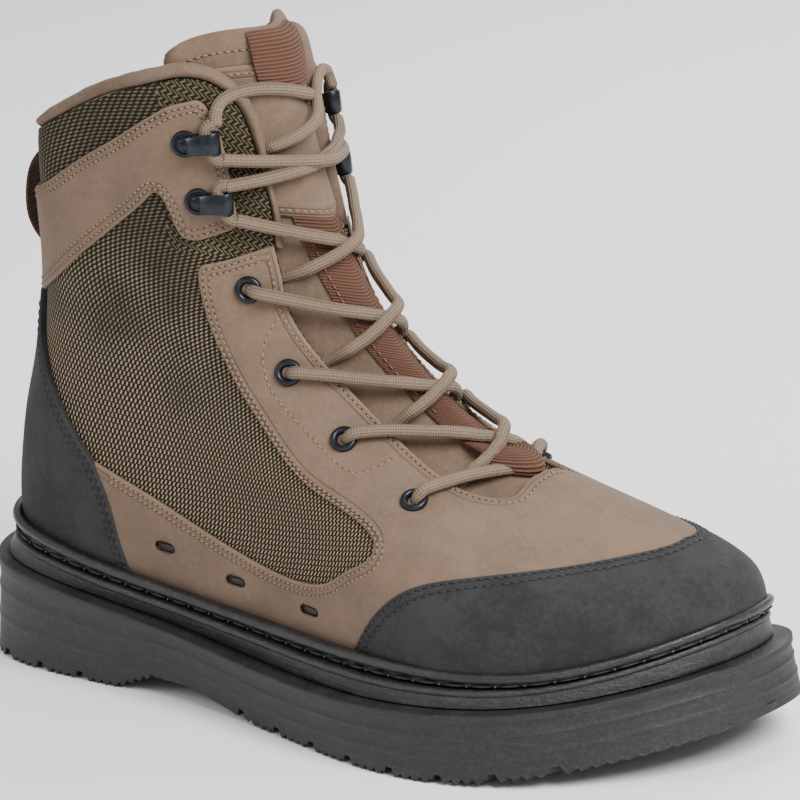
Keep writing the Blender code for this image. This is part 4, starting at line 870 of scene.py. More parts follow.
def lace_braid(name):
    """Round braid, with painted shade between its strands and painted highlight on them: UV is metres along,
    and turns round it.
    """
    made = Finish(name, roughness=0.8, specular=0.3)
    along, turn, _ = made.axes(made.place(source="UV"))
    one = made.maths("SINE", along * 3900.0 + turn * (2 * math.pi * 6))
    two = made.maths("SINE", along * 3900.0 - turn * (2 * math.pi * 6))
    diamonds_and_shade = made.limit(made.maths("MULTIPLY", one, two) * 0.5 + 0.5)
    stripe = made.dip(made.maths("FRACT", turn * 2.0 + 0.25), 0.5, 0.13)
    fleck = made.step(made.noise(made.place(), 1300.0, 3.0), 0.50, 0.68)
    colour = tuple(colours().lace)
    # Painted shade and highlight: darker between the braid's crossing strands and lighter on them.
    base = made.mix(diamonds_and_shade, shaded(colour, 0.50), shaded(colour, 1.30))
    base = made.mix(made.limit(stripe * 0.5 + fleck * 0.28), base, shaded(colour, 0.38))
    return made.done(base, diamonds_and_shade * 0.24)


def sewing_thread(name, colour):
    """Twisted thread."""
    made = Finish(name, roughness=0.6, specular=0.4)
    twist = made.maths("SINE", made.axes(made.place())[0] * 9000.0) * 0.5 + 0.5
    speck = made.noise(made.place(), 600.0, 2.0)
    return made.done(made.mix(speck, shaded(colour, 0.7), shaded(colour, 1.25)), twist * 0.1)


def tan_thread(name):
    return sewing_thread(name, linear(132, 109, 87))


def black_thread(name):
    return sewing_thread(name, linear(36, 36, 39))


# Pale grey of the painted glints between the welt's stitches.
def welt_glint(name):
    return sewing_thread(name, linear(74, 74, 78))


def keeper_thread(name):
    return sewing_thread(name, linear(122, 86, 66))


def keeper_webbing(name):
    return webbing_cloth(name, tuple(colours().webbing), RIB, 1.25)


def heel_webbing(name):
    return webbing_cloth(name, shaded(tuple(colours().webbing), 0.62), HEEL_RIB, 1.2)


def needle_dark(name):
    """Painted shade in a needle hole: a dull dark."""
    made = Finish(name, roughness=1.0, specular=0.0)
    return made.done(made.mix(made.noise(made.place(), 400.0), linear(20, 17, 14), linear(38, 31, 25)))


def black_metal(name):
    """Glossy coated metal."""
    made = Finish(name, roughness=0.28, metallic=0.75, specular=0.5)
    smear = made.noise(made.place(), 420.0, 3.0)
    base = made.mix(smear, linear(20, 22, 26), linear(52, 55, 62))
    return made.done(base, smear * 0.05, roughness=0.22 + smear * 0.22)


def moulded_rubber(name, share, gloss):
    """Moulded rubber with flow streaks and pale specks."""
    made = Finish(name, roughness=0.6, specular=0.45)
    place = made.place()
    cloud = made.noise(place, 70.0, 4.0)
    grain = made.noise(place, 2600.0, 3.0)
    streak = made.noise(made.place(scale=(1.0, 1.0, 9.0)), 70.0, 5.0, 0.65)
    colour = shaded(tuple(colours().rubber), share)
    tone = made.step(cloud * 0.5 + grain * 0.5, 0.3, 0.7)
    base = made.mix(tone, shaded(colour, 0.60), shaded(colour, 1.60))
    base = made.mix(made.step(streak, 0.50, 0.68) * 0.6, base, shaded(colour, 2.6))
    speck = made.noise(made.place(), 620.0, 4.0, 0.7)
    base = made.mix(made.step(speck, 0.50, 0.62) * 0.6, base, shaded(colour, 2.8))
    height = grain * 0.11 + cloud * 0.1 + streak * 0.30 + speck * 0.25
    return made.done(base, height, roughness=gloss + cloud * 0.16)


def outsole_rubber(name):
    return moulded_rubber(name, 0.95, 0.50)


# The midsole band is a lighter copy of the sole's rubber: partly its own light grey, partly painted light
# against the shade under the outsole's ledge and the lip.
def midsole_rubber(name):
    return moulded_rubber(name, 1.55, 0.36)


def bead_rubber(name):
    return moulded_rubber(name, 1.15, 0.26)


def pale_floor(name):
    """Floor of the stage."""
    made = Finish(name, roughness=0.9, specular=0.1)
    return made.done(made.mix(made.noise(made.place(), 3.0), (0.90, 0.90, 0.90), (0.93, 0.93, 0.93)))


def mesh_object(name, verts, faces, materials, sharp=40.0, merge=1e-6, uv=None, values=None, choice=None):
    """Mesh piece in the part's frame. The uv, values and material choice belong to the vertices and faces."""
    mesh = bpy.data.meshes.new(name)
    placed = np.asarray(verts, float) - (CENTRE[0], CENTRE[1], 0.0)
    mesh.from_pydata(placed.tolist(), [], [list(map(int, face)) for face in faces])
    for key, numbers in (values or {}).items():
        mesh.attributes.new(key, "FLOAT", "POINT").data.foreach_set("value", np.asarray(numbers, np.float32))
    if uv is not None:
        layer = mesh.uv_layers.new(name="UVMap")
        corners = np.zeros(len(mesh.loops), np.int32)
        mesh.loops.foreach_get("vertex_index", corners)
        layer.data.foreach_set("uv", np.asarray(uv, np.float32)[corners].ravel())
    if choice is not None:
        mesh.polygons.foreach_set("material_index", np.asarray(choice, np.int32))
    for item in materials:
        mesh.materials.append(item)
    builder = bmesh.new()
    builder.from_mesh(mesh)
    if merge:
        bmesh.ops.remove_doubles(builder, verts=builder.verts, dist=merge)
        bmesh.ops.dissolve_degenerate(builder, edges=builder.edges, dist=1e-7)
    builder.to_mesh(mesh)
    builder.free()
    mesh.validate()
    mesh.shade_smooth()
    mesh.set_sharp_from_angle(angle=math.radians(sharp))
    item = bpy.data.objects.new(name, mesh)
    bpy.context.scene.collection.objects.link(item)
    return item


def keep(item, slot, *nodes):
    """Let a piece ride on the boot and stand for model nodes, whose parts it hides. The slot is not used."""
    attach(item, "root")
    if nodes:
        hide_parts(*nodes)
    return item


def relief(u, v):
    """Soft creases and hollows of the worn-in upper, in metres, the same on every layer."""
    side = np.where(u % 1.0 > 0.5, 1.0 - u % 1.0, u % 1.0)
    total = np.zeros(np.shape(u))
    for across, up, wide, high, turn, amount in CREASES:
        x = (side - across) * CHART_WIDTH
        y = (v - up) * CHART_HEIGHT
        along = x * math.cos(turn) + y * math.sin(turn)
        over = y * math.cos(turn) - x * math.sin(turn)
        total += amount * np.exp(-(along / wide) ** 2 - (over / high) ** 2)
    return total * np.clip(v / 0.06, 0.0, 1.0)


# Creases and hollows: place round and up, reach along and over in metres, turn, height.
CREASES = (
    (0.415, 0.400, 0.030, 0.0035, -0.35, -0.0007), (0.400, 0.440, 0.032, 0.0045, -0.30, 0.0005),
    (0.385, 0.480, 0.026, 0.0040, -0.30, -0.0005), (0.455, 0.440, 0.020, 0.0040, -0.15, -0.0005),
    (0.300, 0.640, 0.030, 0.0060, 0.50, -0.0008), (0.255, 0.700, 0.035, 0.0060, 0.55, 0.0006),
    (0.210, 0.560, 0.028, 0.0080, 0.40, -0.0007), (0.280, 0.420, 0.035, 0.0070, 0.10, 0.0005),
    (0.165, 0.700, 0.030, 0.0060, 0.60, -0.0006), (0.330, 0.930, 0.020, 0.0040, 0.15, 0.0004),
    (0.240, 0.900, 0.025, 0.0050, 0.30, -0.0005), (0.110, 0.800, 0.020, 0.0060, 0.50, -0.0005),
    (0.455, 0.220, 0.020, 0.0090, 0.00, 0.0005), (0.060, 0.300, 0.020, 0.0150, 0.00, 0.0004),
)


def skin(u, v, offset=0.0):
    """Points on the dressed upper, with its creases."""
    u = np.atleast_1d(np.asarray(u, float))
    v = np.broadcast_to(np.asarray(v, float), u.shape)
    return LAST.at(u, v, np.broadcast_to(offset, u.shape) + relief(u, v))


def chart_scale(u, v):
    """Metres for one unit of u and of v at places on the last."""
    small = 0.002
    across = LAST.points(u + small, v) - LAST.points(u - small, v)
    up = LAST.points(u, v + small) - LAST.points(u, v - small)
    return np.column_stack((np.linalg.norm(across, axis=1), np.linalg.norm(up, axis=1))) / (2 * small)


def beside(line, side):
    """Chart points that lie side metres to the left of a chart line, seen from outside."""
    line = np.asarray(line, float)
    scale = chart_scale(line[:, 0], line[:, 1])
    along = np.gradient(line, axis=0) * scale
    left = np.column_stack((-along[:, 1], along[:, 0])) / np.linalg.norm(along, axis=1)[:, None]
    return line + left * np.reshape(side, (-1, 1)) / scale


def fine(table):
    """Closely spaced chart points of an edge table."""
    return smooth_line(table, LINE_STEP)


def over_back(line):
    """The same line on the medial side, run the other way, with places counted below 0."""
    return np.asarray(line, float)[::-1] * (-1.0, 1.0)


def over_front(line):
    """The same line on the medial side, run the other way."""
    return np.asarray(line, float)[::-1] * (-1.0, 1.0) + (1.0, 0.0)


def ring(*lines):
    """One outline from lines that meet."""
    points = [np.asarray(lines[0], float)]
    for line in lines[1:]:
        points.append(np.asarray(line, float)[1:])
    whole = np.concatenate(points)
    return whole[:-1] if np.allclose(whole[0], whole[-1], atol=1e-7) else whole


def foot_line(start, end):
    """Chart points along the feather edge."""
    count = max(2, int(abs(end - start) * CHART_WIDTH / LINE_STEP))
    return np.column_stack((np.linspace(start, end, count), np.zeros(count)))


class Cloth:
    """Fine triangulation of one panel in chart coordinates."""

    def __init__(self, outline, spacing, holes=(), rim_rows=RIM_ROWS):
        self.scale = np.array((CHART_WIDTH, CHART_HEIGHT))
        chains = [outline, *holes]
        verts = []
        edges = []
        for chain in chains:
            start = len(verts)
            verts += [tuple(p) for p in chain * self.scale]
            edges += [(start + k, start + (k + 1) % len(chain)) for k in range(len(chain))]
        border = self.dense(np.concatenate([np.concatenate((c, c[:1])) for c in chains]), chains)
        for row in rim_rows:
            for chain in chains:
                closed = np.concatenate((chain[-2:], chain, chain[:2]))
                for side in (-row, row):
                    line = beside(closed, side)[2:-2]
                    verts += self.accepted(line, outline, holes, border, row * 0.85)
        low = outline.min(0)
        high = outline.max(0)
        rows = np.arange(low[1], high[1], spacing * 0.87 / CHART_HEIGHT)
        for k, v in enumerate(rows):
            places = np.arange(low[0] + (k % 2) * spacing / 2 / CHART_WIDTH, high[0], spacing / CHART_WIDTH)
            line = np.column_stack((places, np.full(len(places), v)))
            verts += self.accepted(line, outline, holes, border, max(rim_rows[-1:] + (0.0,)) + spacing * 0.5)
        result, _, faces, _, _, _ = delaunay_2d_cdt([Vector(p) for p in verts], edges, [], 0, 1e-7)
        self.chart = np.array([(p.x, p.y) for p in result]) / self.scale
        faces = np.array([face[:3] for face in faces])
        middles = self.chart[faces].mean(1)
        chosen = inside(outline, middles)
        for hole in holes:
            chosen &= ~inside(hole, middles)
        self.faces = faces[chosen]

    def dense(self, points, chains):
        """Search tree of the border, in metres on the last."""
        placed = []
        for chain in chains:
            closed = np.concatenate((chain, chain[:1]))
            ways = np.linspace(0.0, len(chain), len(chain) * 4 + 1)
            u = np.interp(ways, np.arange(len(closed)), closed[:, 0])
            v = np.interp(ways, np.arange(len(closed)), closed[:, 1])
            placed.append(LAST.at(u, v))
        return tree_of(np.concatenate(placed))

    def accepted(self, line, outline, holes, border, clear):
        """Points of a line that lie in the panel and clear of its border."""
        chosen = inside(outline, line)
        for hole in holes:
            chosen &= ~inside(hole, line)
        line = line[chosen]
        if not len(line):
            return []
        gaps = distances(border, LAST.at(line[:, 0], line[:, 1]))
        return [tuple(p) for p in line[gaps > clear] * self.scale]


def tree_of(points):
    """Search tree of points."""
    tree = KDTree(len(points))
    for k, point in enumerate(points):
        tree.insert(point, k)
    tree.balance()
    return tree


def distances(tree, points):
    """Distance of each point to the nearest one in the tree."""
    return np.array([tree.find(point)[2] for point in points])


def line_tree(lines):
    """Search tree of chart lines, in metres on the last."""
    placed = []
    for line in lines:
        line = np.asarray(line, float)
        ways = np.linspace(0, len(line) - 1, len(line) * 6)
        places = np.arange(len(line))
        placed.append(LAST.at(np.interp(ways, places, line[:, 0]), np.interp(ways, places, line[:, 1])))
    return tree_of(np.concatenate(placed))


class Rule:
    """Metres round the boot and up it, for weaves that keep their scale."""

    def __init__(self):
        self.u = np.linspace(-0.5, 1.5, 401)
        self.v = np.linspace(0.0, 1.1, 111)
        grid = np.stack([LAST.points(self.u, np.full(len(self.u), v)) for v in self.v])
        across = np.linalg.norm(np.diff(grid, axis=1), axis=2)
        up = np.linalg.norm(np.diff(grid, axis=0), axis=2)
        self.across = np.concatenate((np.zeros((len(self.v), 1)), np.cumsum(across, axis=1)), axis=1)
        self.across -= self.across[:, 160][:, None]
        self.up = np.concatenate((np.zeros((1, len(self.u))), np.cumsum(up, axis=0)))
        self.up -= self.up[60][None]

    def read(self, u, v):
        """Metres round and up at chart places."""
        mirror = u > 0.5
        u = np.where(mirror, 1.0 - u, u)
        i = (u + 0.5) / 2.0 * (len(self.u) - 1)
        j = np.clip(v, 0.0, 1.1) / 1.1 * (len(self.v) - 1)
        low_i = np.clip(i.astype(int), 0, len(self.u) - 2)
        low_j = np.clip(j.astype(int), 0, len(self.v) - 2)
        a = i - low_i
        b = j - low_j
        result = []
        for table in (self.across, self.up):
            low = table[low_j, low_i] * (1 - a) + table[low_j, low_i + 1] * a
            high = table[low_j + 1, low_i] * (1 - a) + table[low_j + 1, low_i + 1] * a
            result.append(low * (1 - b) + high * b)
        return np.column_stack(result)


def shell_piece(name, cloth, outer, inner, materials, stitched=None, lift=None, closed_back=False):
    """Closed solid over a panel's triangles. Outer and inner give the offsets; lift lowers the rim."""
    chart = cloth.chart
    faces = cloth.faces
    counts = {}
    for face in faces.tolist():
        for a, b in zip(face, face[1:] + face[:1]):
            counts[(a, b)] = True
    rim = [(a, b) for a, b in counts if (b, a) not in counts]
    if closed_back:
        rim = [(a, b) for a, b in rim if not (chart[a, 0] % 1.0 < 1e-6 and chart[b, 0] % 1.0 < 1e-6)]
    drop = lift(chart) if lift else 0.0
    front = skin(chart[:, 0], chart[:, 1], outer(chart[:, 1]) - drop)
    back = skin(chart[:, 0], chart[:, 1], inner(chart[:, 1]))
    count = len(chart)
    quads = [tuple(face) for face in faces.tolist()]
    quads += [(c + count, b + count, a + count) for a, b, c in faces.tolist()]
    quads += [(b, a, a + count, b + count) for a, b in rim]
    choice = [0] * len(faces) + [len(materials) - 1] * len(faces) + [0] * len(rim)
    uv = RULE.read(chart[:, 0], chart[:, 1])
    values = {"way": np.tile(chart[:, 1], 2)}
    if stitched is not None:
        gaps = distances(stitched, LAST.at(chart[:, 0], chart[:, 1])) * 1000
        values["rim"] = np.concatenate((gaps, np.full(count, 9.0)))
    return mesh_object(name, np.concatenate((front, back)), quads, materials, sharp=50.0,
                       uv=np.concatenate((uv, uv)), values=values, choice=choice)


def rounded_rim(tree, deep):
    """Function that lowers the outer face near the lines of a search tree."""
    def lift(chart):
        gaps = distances(tree, LAST.at(chart[:, 0], chart[:, 1]))
        share = np.clip(1.0 - gaps / RIM_ROUNDING, 0.0, 1.0)
        return deep * share**2.2
    return lift


def mirrored_uv(line):
    return np.asarray(line, float) * (-1.0, 1.0) + (1.0, 0.0)


def slot_outline(u, v):
    """Chart outline of a drain slot."""
    half = SLOT_WIDTH / 2
    straight = SLOT_LENGTH / 2 - half
    turns = np.linspace(-math.pi / 2, math.pi / 2, 9)
    right = np.column_stack((straight + half * np.cos(turns), half * np.sin(turns)))
    points = np.concatenate((right, -right))
    return (u, v) + points / chart_scale(np.array([u]), np.array([v]))[0]


class BootOperator:
    """Shared ending of the operators."""

    bl_options = {"REGISTER"}

    def execute(self, context):
        self.build()
        return {"FINISHED"}


class WADING_OT_upper(BootOperator, bpy.types.Operator):
    """Make the hollow mesh upper with its lining."""

    bl_idname = "wading.upper"
    bl_label = "Mesh upper"

    def build(self):
        collar = np.concatenate((fine(COLLAR_EDGE), fine(THROAT_EDGE)[1:]))
        back = np.column_stack((np.zeros(60), np.linspace(0.0, COLLAR_EDGE[0][1], 60)))
        front = over_front(collar)
        outline = ring(foot_line(0.0, 1.0), back + (1.0, 0.0), front[::-1], collar[::-1], back[::-1])
        cloth = Cloth(outline, FABRIC_GRID, rim_rows=())
        edge = line_tree([collar, front])
        item = shell_piece("mesh_upper", cloth, lambda v: np.full(len(v), -(OVERLAY + GAP)),
                           lambda v: -inner_face(v), [finish(mesh_fabric),
                                                      finish(lining_cloth)],
                           lift=rounded_rim(edge, 0.0004), closed_back=True)
        keep(item, "mesh", "upper")


class WADING_OT_panels(BootOperator, bpy.types.Operator):
    """Make the vamp overlay, the toe cap, the heel counter and the ankle strap."""

    bl_idname = "wading.panels"
    bl_label = "Panels"

    def build(self):
        throat = fine(THROAT_EDGE)
        band = fine(BAND_EDGE)
        toe = fine(TOE_CAP_EDGE)
        counter = fine(COUNTER_EDGE)
        self.slot_linings()
        half = np.concatenate((counter, band[1:], throat[1:]))
        outline = self.vamp_outline(half, toe)
        slots = []
        for u, v in DRAIN_SLOTS:
            slots.append(slot_outline(u, v))
            slots.append(mirrored_uv(slot_outline(u, v))[::-1])
        brown = [finish(panel_nubuck)]
        black = [finish(cap_nubuck)]
        sewn = [band, throat, over_front(band), over_front(throat)]
        rims = sewn + [np.concatenate((slot, slot[:1])) for slot in slots]
        cloth = Cloth(outline, GRID, holes=slots)
        self.panel("vamp_panel", cloth, 0.0, brown, sewn, rims, "brown_nubuck", "vamp_overlay")

        outline = ring(toe, over_front(toe), foot_line(0.670, 0.330))
        edges = [toe, over_front(toe)]
        self.panel("toe_cap_panel", Cloth(outline, GRID), CAP_STEP, black, edges, edges, "black_nubuck",
                   "toe_cap")

        side = np.concatenate((counter, fine(BACK_STAY_EDGE)[1:]))
        top = fine(STAY_TOP)
        whole = ring(side, top[::-1], over_back(top[::-1]), over_back(side), foot_line(-0.150, 0.150))
        edges = [side, over_back(side)]
        self.panel("heel_counter_panel", Cloth(whole, GRID), CAP_STEP, black, edges, edges, "black_nubuck",
                   "heel_counter")

        lower = np.concatenate((top, fine(STRAP_LOWER)[1:], fine(STRAP_TAB)[1:], fine(STRAP_UPPER)[1:]))
        whole = ring(lower, over_back(lower))
        edges = [lower, over_back(lower)]
        self.panel("ankle_strap_panel", Cloth(whole, GRID), STRAP_STEP, brown, edges, edges, "brown_nubuck",
                   "ankle_strap")

    def slot_linings(self):
        """Dark moulded linings in the drain slots, with a thin raised lip."""
        verts, faces = [], []
        for u, v in DRAIN_SLOTS:
            for medial in (False, True):
                centre, forward, up, out = place_frame(1.0 - u if medial else u, v)
                flat = (slot_outline(u, v) - (u, v)) * chart_scale(np.array([u]), np.array([v]))[0]
                loops = []
                for share, height in ((0.55, -0.0012), (0.90, -0.0011), (0.96, -0.0002), (1.01, 0.00005),
                                      (1.08, -0.00005), (1.10, -0.0013), (0.60, -0.0014)):
                    outwards = flat / np.linalg.norm(flat, axis=1)[:, None]
                    grown = flat + outwards * (share - 1.0) * SLOT_WIDTH / 2
                    loops.append(np.array([centre + forward * x + up * y + out * height for x, y in grown]))
                count = len(flat)
                start = len(verts)
                verts += list(np.concatenate(loops))
                for level in range(len(loops) - 1):
                    for i in range(count):
                        a, b = start + level * count + i, start + level * count + (i + 1) % count
                        faces.append((b, a, a + count, b + count))
                faces.append([start + i for i in range(count)])
                faces.append([start + (len(loops) - 1) * count + i for i in range(count)][::-1])
        item = mesh_object("drain_slot_linings", verts, faces, [finish(bead_rubber)])
        keep(item, "rubber")

    def vamp_outline(self, half, toe):
        """Outline of the vamp from the counter over the throat to the toe cap."""
        return ring(half, over_front(half), foot_line(0.850, 0.670), over_front(toe)[::-1], toe[::-1],
                    foot_line(0.330, 0.150))

    def panel(self, name, cloth, step, materials, sewn, rims, slot, node):
        item = shell_piece(name, cloth, lambda v: np.full(len(v), step), lambda v: np.full(len(v), -OVERLAY),
                           materials, stitched=line_tree(sewn), lift=rounded_rim(line_tree(rims), 0.0008))
        keep(item, slot, node)


def sewing_tree():
    """Node tree that sets a stitch on every point, turned by the point's own directions."""
    found = bpy.data.node_groups.get("Sewing")
    if found:
        return found
    tree = bpy.data.node_groups.new("Sewing", "GeometryNodeTree")
    tree.interface.new_socket(name="Points", in_out="INPUT", socket_type="NodeSocketGeometry")
    for label in ("Length", "Width", "Height"):
        made = tree.interface.new_socket(name=label, in_out="INPUT", socket_type="NodeSocketFloat")
        made.subtype = "DISTANCE"
        made.default_value = 0.001
    sides = tree.interface.new_socket(name="Sides", in_out="INPUT", socket_type="NodeSocketInt")
    sides.default_value = 6
    tree.interface.new_socket(name="Thread", in_out="INPUT", socket_type="NodeSocketMaterial")
    tree.interface.new_socket(name="Sewn", in_out="OUTPUT", socket_type="NodeSocketGeometry")
    nodes = tree.nodes
    start = nodes.new("NodeGroupInput")
    end = nodes.new("NodeGroupOutput")
    grain = nodes.new("GeometryNodeMeshUVSphere")
    grain.inputs["Rings"].default_value = 4
    grain.inputs["Radius"].default_value = 0.5
    size = nodes.new("ShaderNodeCombineXYZ")
    scaled = nodes.new("GeometryNodeTransform")
    turn = nodes.new("GeometryNodeInputNamedAttribute")
    turn.data_type = "FLOAT_VECTOR"
    turn.inputs["Name"].default_value = "turn"
    place = nodes.new("GeometryNodeInstanceOnPoints")
    real = nodes.new("GeometryNodeRealizeInstances")
    paint = nodes.new("GeometryNodeSetMaterial")
    for source, target in (
        (start.outputs["Sides"], grain.inputs["Segments"]),
        (start.outputs["Length"], size.inputs[0]), (start.outputs["Width"], size.inputs[1]),
        (start.outputs["Height"], size.inputs[2]), (grain.outputs["Mesh"], scaled.inputs["Geometry"]),
        (size.outputs[0], scaled.inputs["Scale"]), (start.outputs["Points"], place.inputs["Points"]),
        (scaled.outputs["Geometry"], place.inputs["Instance"]),
        (turn.outputs["Attribute"], place.inputs["Rotation"]),
        (place.outputs["Instances"], real.inputs["Geometry"]),
        (real.outputs["Geometry"], paint.inputs["Geometry"]),
        (start.outputs["Thread"], paint.inputs["Material"]), (paint.outputs["Geometry"], end.inputs["Sewn"]),
    ):
        tree.links.new(source, target)
    return tree


def repeat(name, tree, points, turns, settings, slot):
    """Run a node tree over points with directions, and keep the result as a plain mesh."""
    mesh = bpy.data.meshes.new(name)
    placed = np.asarray(points) - (CENTRE[0], CENTRE[1], 0.0)
    mesh.from_pydata(placed.tolist(), [], [])
    directions = mesh.attributes.new("turn", "FLOAT_VECTOR", "POINT")
    directions.data.foreach_set("vector", np.ravel(turns).astype(np.float32))
    item = bpy.data.objects.new(name, mesh)
    bpy.context.scene.collection.objects.link(item)
    modifier = item.modifiers.new("Repeat", "NODES")
    modifier.node_group = tree
    for socket in tree.interface.items_tree:
        if socket.in_out == "INPUT" and socket.name in settings:
            modifier[socket.identifier] = settings[socket.name]
    graph = bpy.context.evaluated_depsgraph_get()
    solid = bpy.data.meshes.new_from_object(item.evaluated_get(graph), preserve_all_data_layers=True,
                                            depsgraph=graph)
    item.modifiers.clear()
    item.data = solid
    solid.shade_smooth()
    return keep(item, slot)


def turned(forward, out):
    """Euler angles of an object whose x runs forward and z out."""
    side = np.cross(out, forward)
    return Matrix((forward, side, out)).transposed().to_euler()


def stitch_places(lines, pitch, height, share, surface=skin):
    """Middles and turns of stitches along chart lines, and those of the needle holes between them."""
    middles, turns, holes, hole_turns = [], [], [], []
    for line in lines:
        line = np.asarray(line, float)
        ways = np.linspace(0, len(line) - 1, len(line) * 8)
        u = np.interp(ways, np.arange(len(line)), line[:, 0])
        v = np.interp(ways, np.arange(len(line)), line[:, 1])
        low = surface(u, v, height)
        high = surface(u, v, height + 0.001)
        metres = distance_along(low)
        count = max(1, int(metres[-1] / pitch))
        step = metres[-1] / count
        for k in range(count):
            ends = []
            for at in (k * step + (1 - share) * step / 2, (k + 1) * step - (1 - share) * step / 2):
                ends.append(point_at(metres, low, at))
            middle = point_at(metres, low, (k + 0.5) * step)
            above = point_at(metres, high, (k + 0.5) * step)
            out = (above - middle) / np.linalg.norm(above - middle)
            forward = ends[1] - ends[0]
            forward -= out * forward.dot(out)
            forward /= np.linalg.norm(forward)
            middles.append(middle)
            turns.append(turned(forward, out))
            holes.append(point_at(metres, low, k * step))
            hole_turns.append(turns[-1])
    return middles, turns, holes, hole_turns


def sew(name, lines, pitch, thread, material, slot, height=0.0, surface=skin, holes=True):
    """Rows of stitches with their needle holes."""
    share = 0.78
    middles, turns, punched, punched_turns = stitch_places(lines, pitch, height, share, surface)
    settings = {"Length": pitch * share, "Width": thread, "Height": thread * 0.85, "Sides": 6,
                "Thread": material}
    repeat(name, sewing_tree(), middles, turns, settings, slot)
    if holes:
        # Dark dots of painted shade in the needle holes between the stitches.
        settings = {"Length": thread * 0.62, "Width": thread * 0.62, "Height": 0.0002, "Sides": 6,
                    "Thread": finish(needle_dark)}
        repeat(name + "_holes", sewing_tree(), punched, punched_turns, settings, slot)


def trimmed(line, start, end):
    """Part of a chart line, as shares of its points."""
    count = len(line)
    return line[int(count * start):max(int(count * end), int(count * start) + 2)]


class WADING_OT_stitches(BootOperator, bpy.types.Operator):
    """Sew the rows along the edges of the panels."""

    bl_idname = "wading.stitches"
    bl_label = "Stitches"

    def build(self):
        brown_lines = []
        strap_lines = []
        black_lines = []
        throat = fine(THROAT_EDGE)
        band = fine(BAND_EDGE)
        strap = np.concatenate((fine(STRAP_LOWER), fine(STRAP_TAB)[1:], fine(STRAP_UPPER)[1:]))
        cap = fine(TOE_CAP_EDGE)
        stay = np.concatenate((fine(COUNTER_EDGE), fine(BACK_STAY_EDGE)[1:]))
        for row in STITCH_ROWS:
            for line in (band, over_front(band)):
                brown_lines.append(trimmed(beside(line, -row), 0.03, 0.97))
            for line in (strap, over_back(strap)):
                strap_lines.append(beside(line, row))
        for line in (throat, over_front(throat)):
            brown_lines.append(trimmed(beside(line, -THROAT_ROW), 0.03, 1.0))
        for row in CAP_ROWS:
            black_lines.append(beside(np.concatenate((cap, over_front(cap)[1:])), -row))
            for line in (stay, over_back(stay)):
                black_lines.append(trimmed(beside(line, row), 0.0, 0.985))
        tan = finish(tan_thread)
        dark = finish(black_thread)
        marks = smooth_line(NEEDLE_LINE, LINE_STEP)
        thread = sizes().thread
        pitch = sizes().stitch_pitch
        sunk = 0.00002
        sew("vamp_stitches", brown_lines, pitch, thread, tan, "brown_nubuck", height=-sunk)
        sew("strap_stitches", strap_lines, pitch, thread, tan, "brown_nubuck", height=STRAP_STEP - sunk)
        sew("cap_stitches", black_lines, sizes().cap_pitch, thread * 1.15, dark, "black_nubuck",
            height=CAP_STEP - sunk)
        sew("eyestay_stitches", [marks, over_front(marks)], pitch * 1.15, thread, tan, "brown_nubuck",
            height=-sunk)


# Curved row of stitches on the eyestay, on the lateral side.
NEEDLE_LINE = ((0.422, 0.780), (0.398, 0.745), (0.375, 0.700), (0.360, 0.635), (0.370, 0.570), (0.385, 0.510),
               (0.408, 0.525), (0.427, 0.555))


def tread_height(sole, x, across):
    """Height of the tread: notches between the lugs, teeth at its edge and cross grooves in the middle."""
    ground = sole.underside(x)
    reach = np.abs(across)
    along = x / SOLE_LENGTH
    blocks = ((along > 0.055) & (along < 0.245)) | (along > 0.430)
    result = ground.copy()
    for start, end in ((0.075, 0.23), (0.445, 0.93)):
        centres = np.arange(start * SOLE_LENGTH, end * SOLE_LENGTH, LUG_PITCH)
        for centre in centres:
            slant = 0.10 * np.clip(reach - 0.42, 0.0, 1.0) * 0.055
            gap = np.abs(x - (centre - slant))
            depth = np.clip((LUG_GROOVE / 2 - gap) / (LUG_GROOVE / 6), 0.0, 1.0)
            depth *= np.clip((reach - 0.42) / 0.04, 0.0, 1.0)
            middle = np.abs(x - centre - LUG_PITCH / 2)
            inner = np.clip((LUG_GROOVE / 2.6 - middle) / (LUG_GROOVE / 7), 0.0, 1.0)
            inner *= np.clip((0.36 - reach) / 0.04, 0.0, 1.0)
            shallow = 1.0 - 0.35 * np.clip((reach - 0.90) / 0.06, 0.0, 1.0)
            result = np.maximum(result, ground + LUG_DEPTH * depth * shallow)
            result = np.maximum(result, ground + 0.0030 * inner)
    channel = np.clip(1.0 - np.abs(reach - 0.39) / 0.03, 0.0, 1.0) * blocks
    result = np.maximum(result, ground + 0.0030 * np.clip(channel * 2.0, 0.0, 1.0))
    phase = ((x / (LUG_PITCH / 5)) % 1.0)
    teeth = 0.0019 * np.abs(2 * phase - 1) * np.clip((reach - 0.88) / 0.06, 0.0, 1.0)
    teeth *= np.where((along > 0.012) & (along < 0.99), 1.0, 0.0) * np.where(blocks | (along < 0.3), 1.0, 0.0)
    return np.maximum(result, ground + teeth)


# Columns of the tread, as shares of the half width.
TREAD_COLUMNS = (0.0, 0.10, 0.20, 0.30, 0.335, 0.355, 0.365, 0.38, 0.40, 0.42, 0.44, 0.46, 0.55, 0.65, 0.75,
                 0.82, 0.87, 0.90, 0.93, 0.955, 0.98, 1.0)


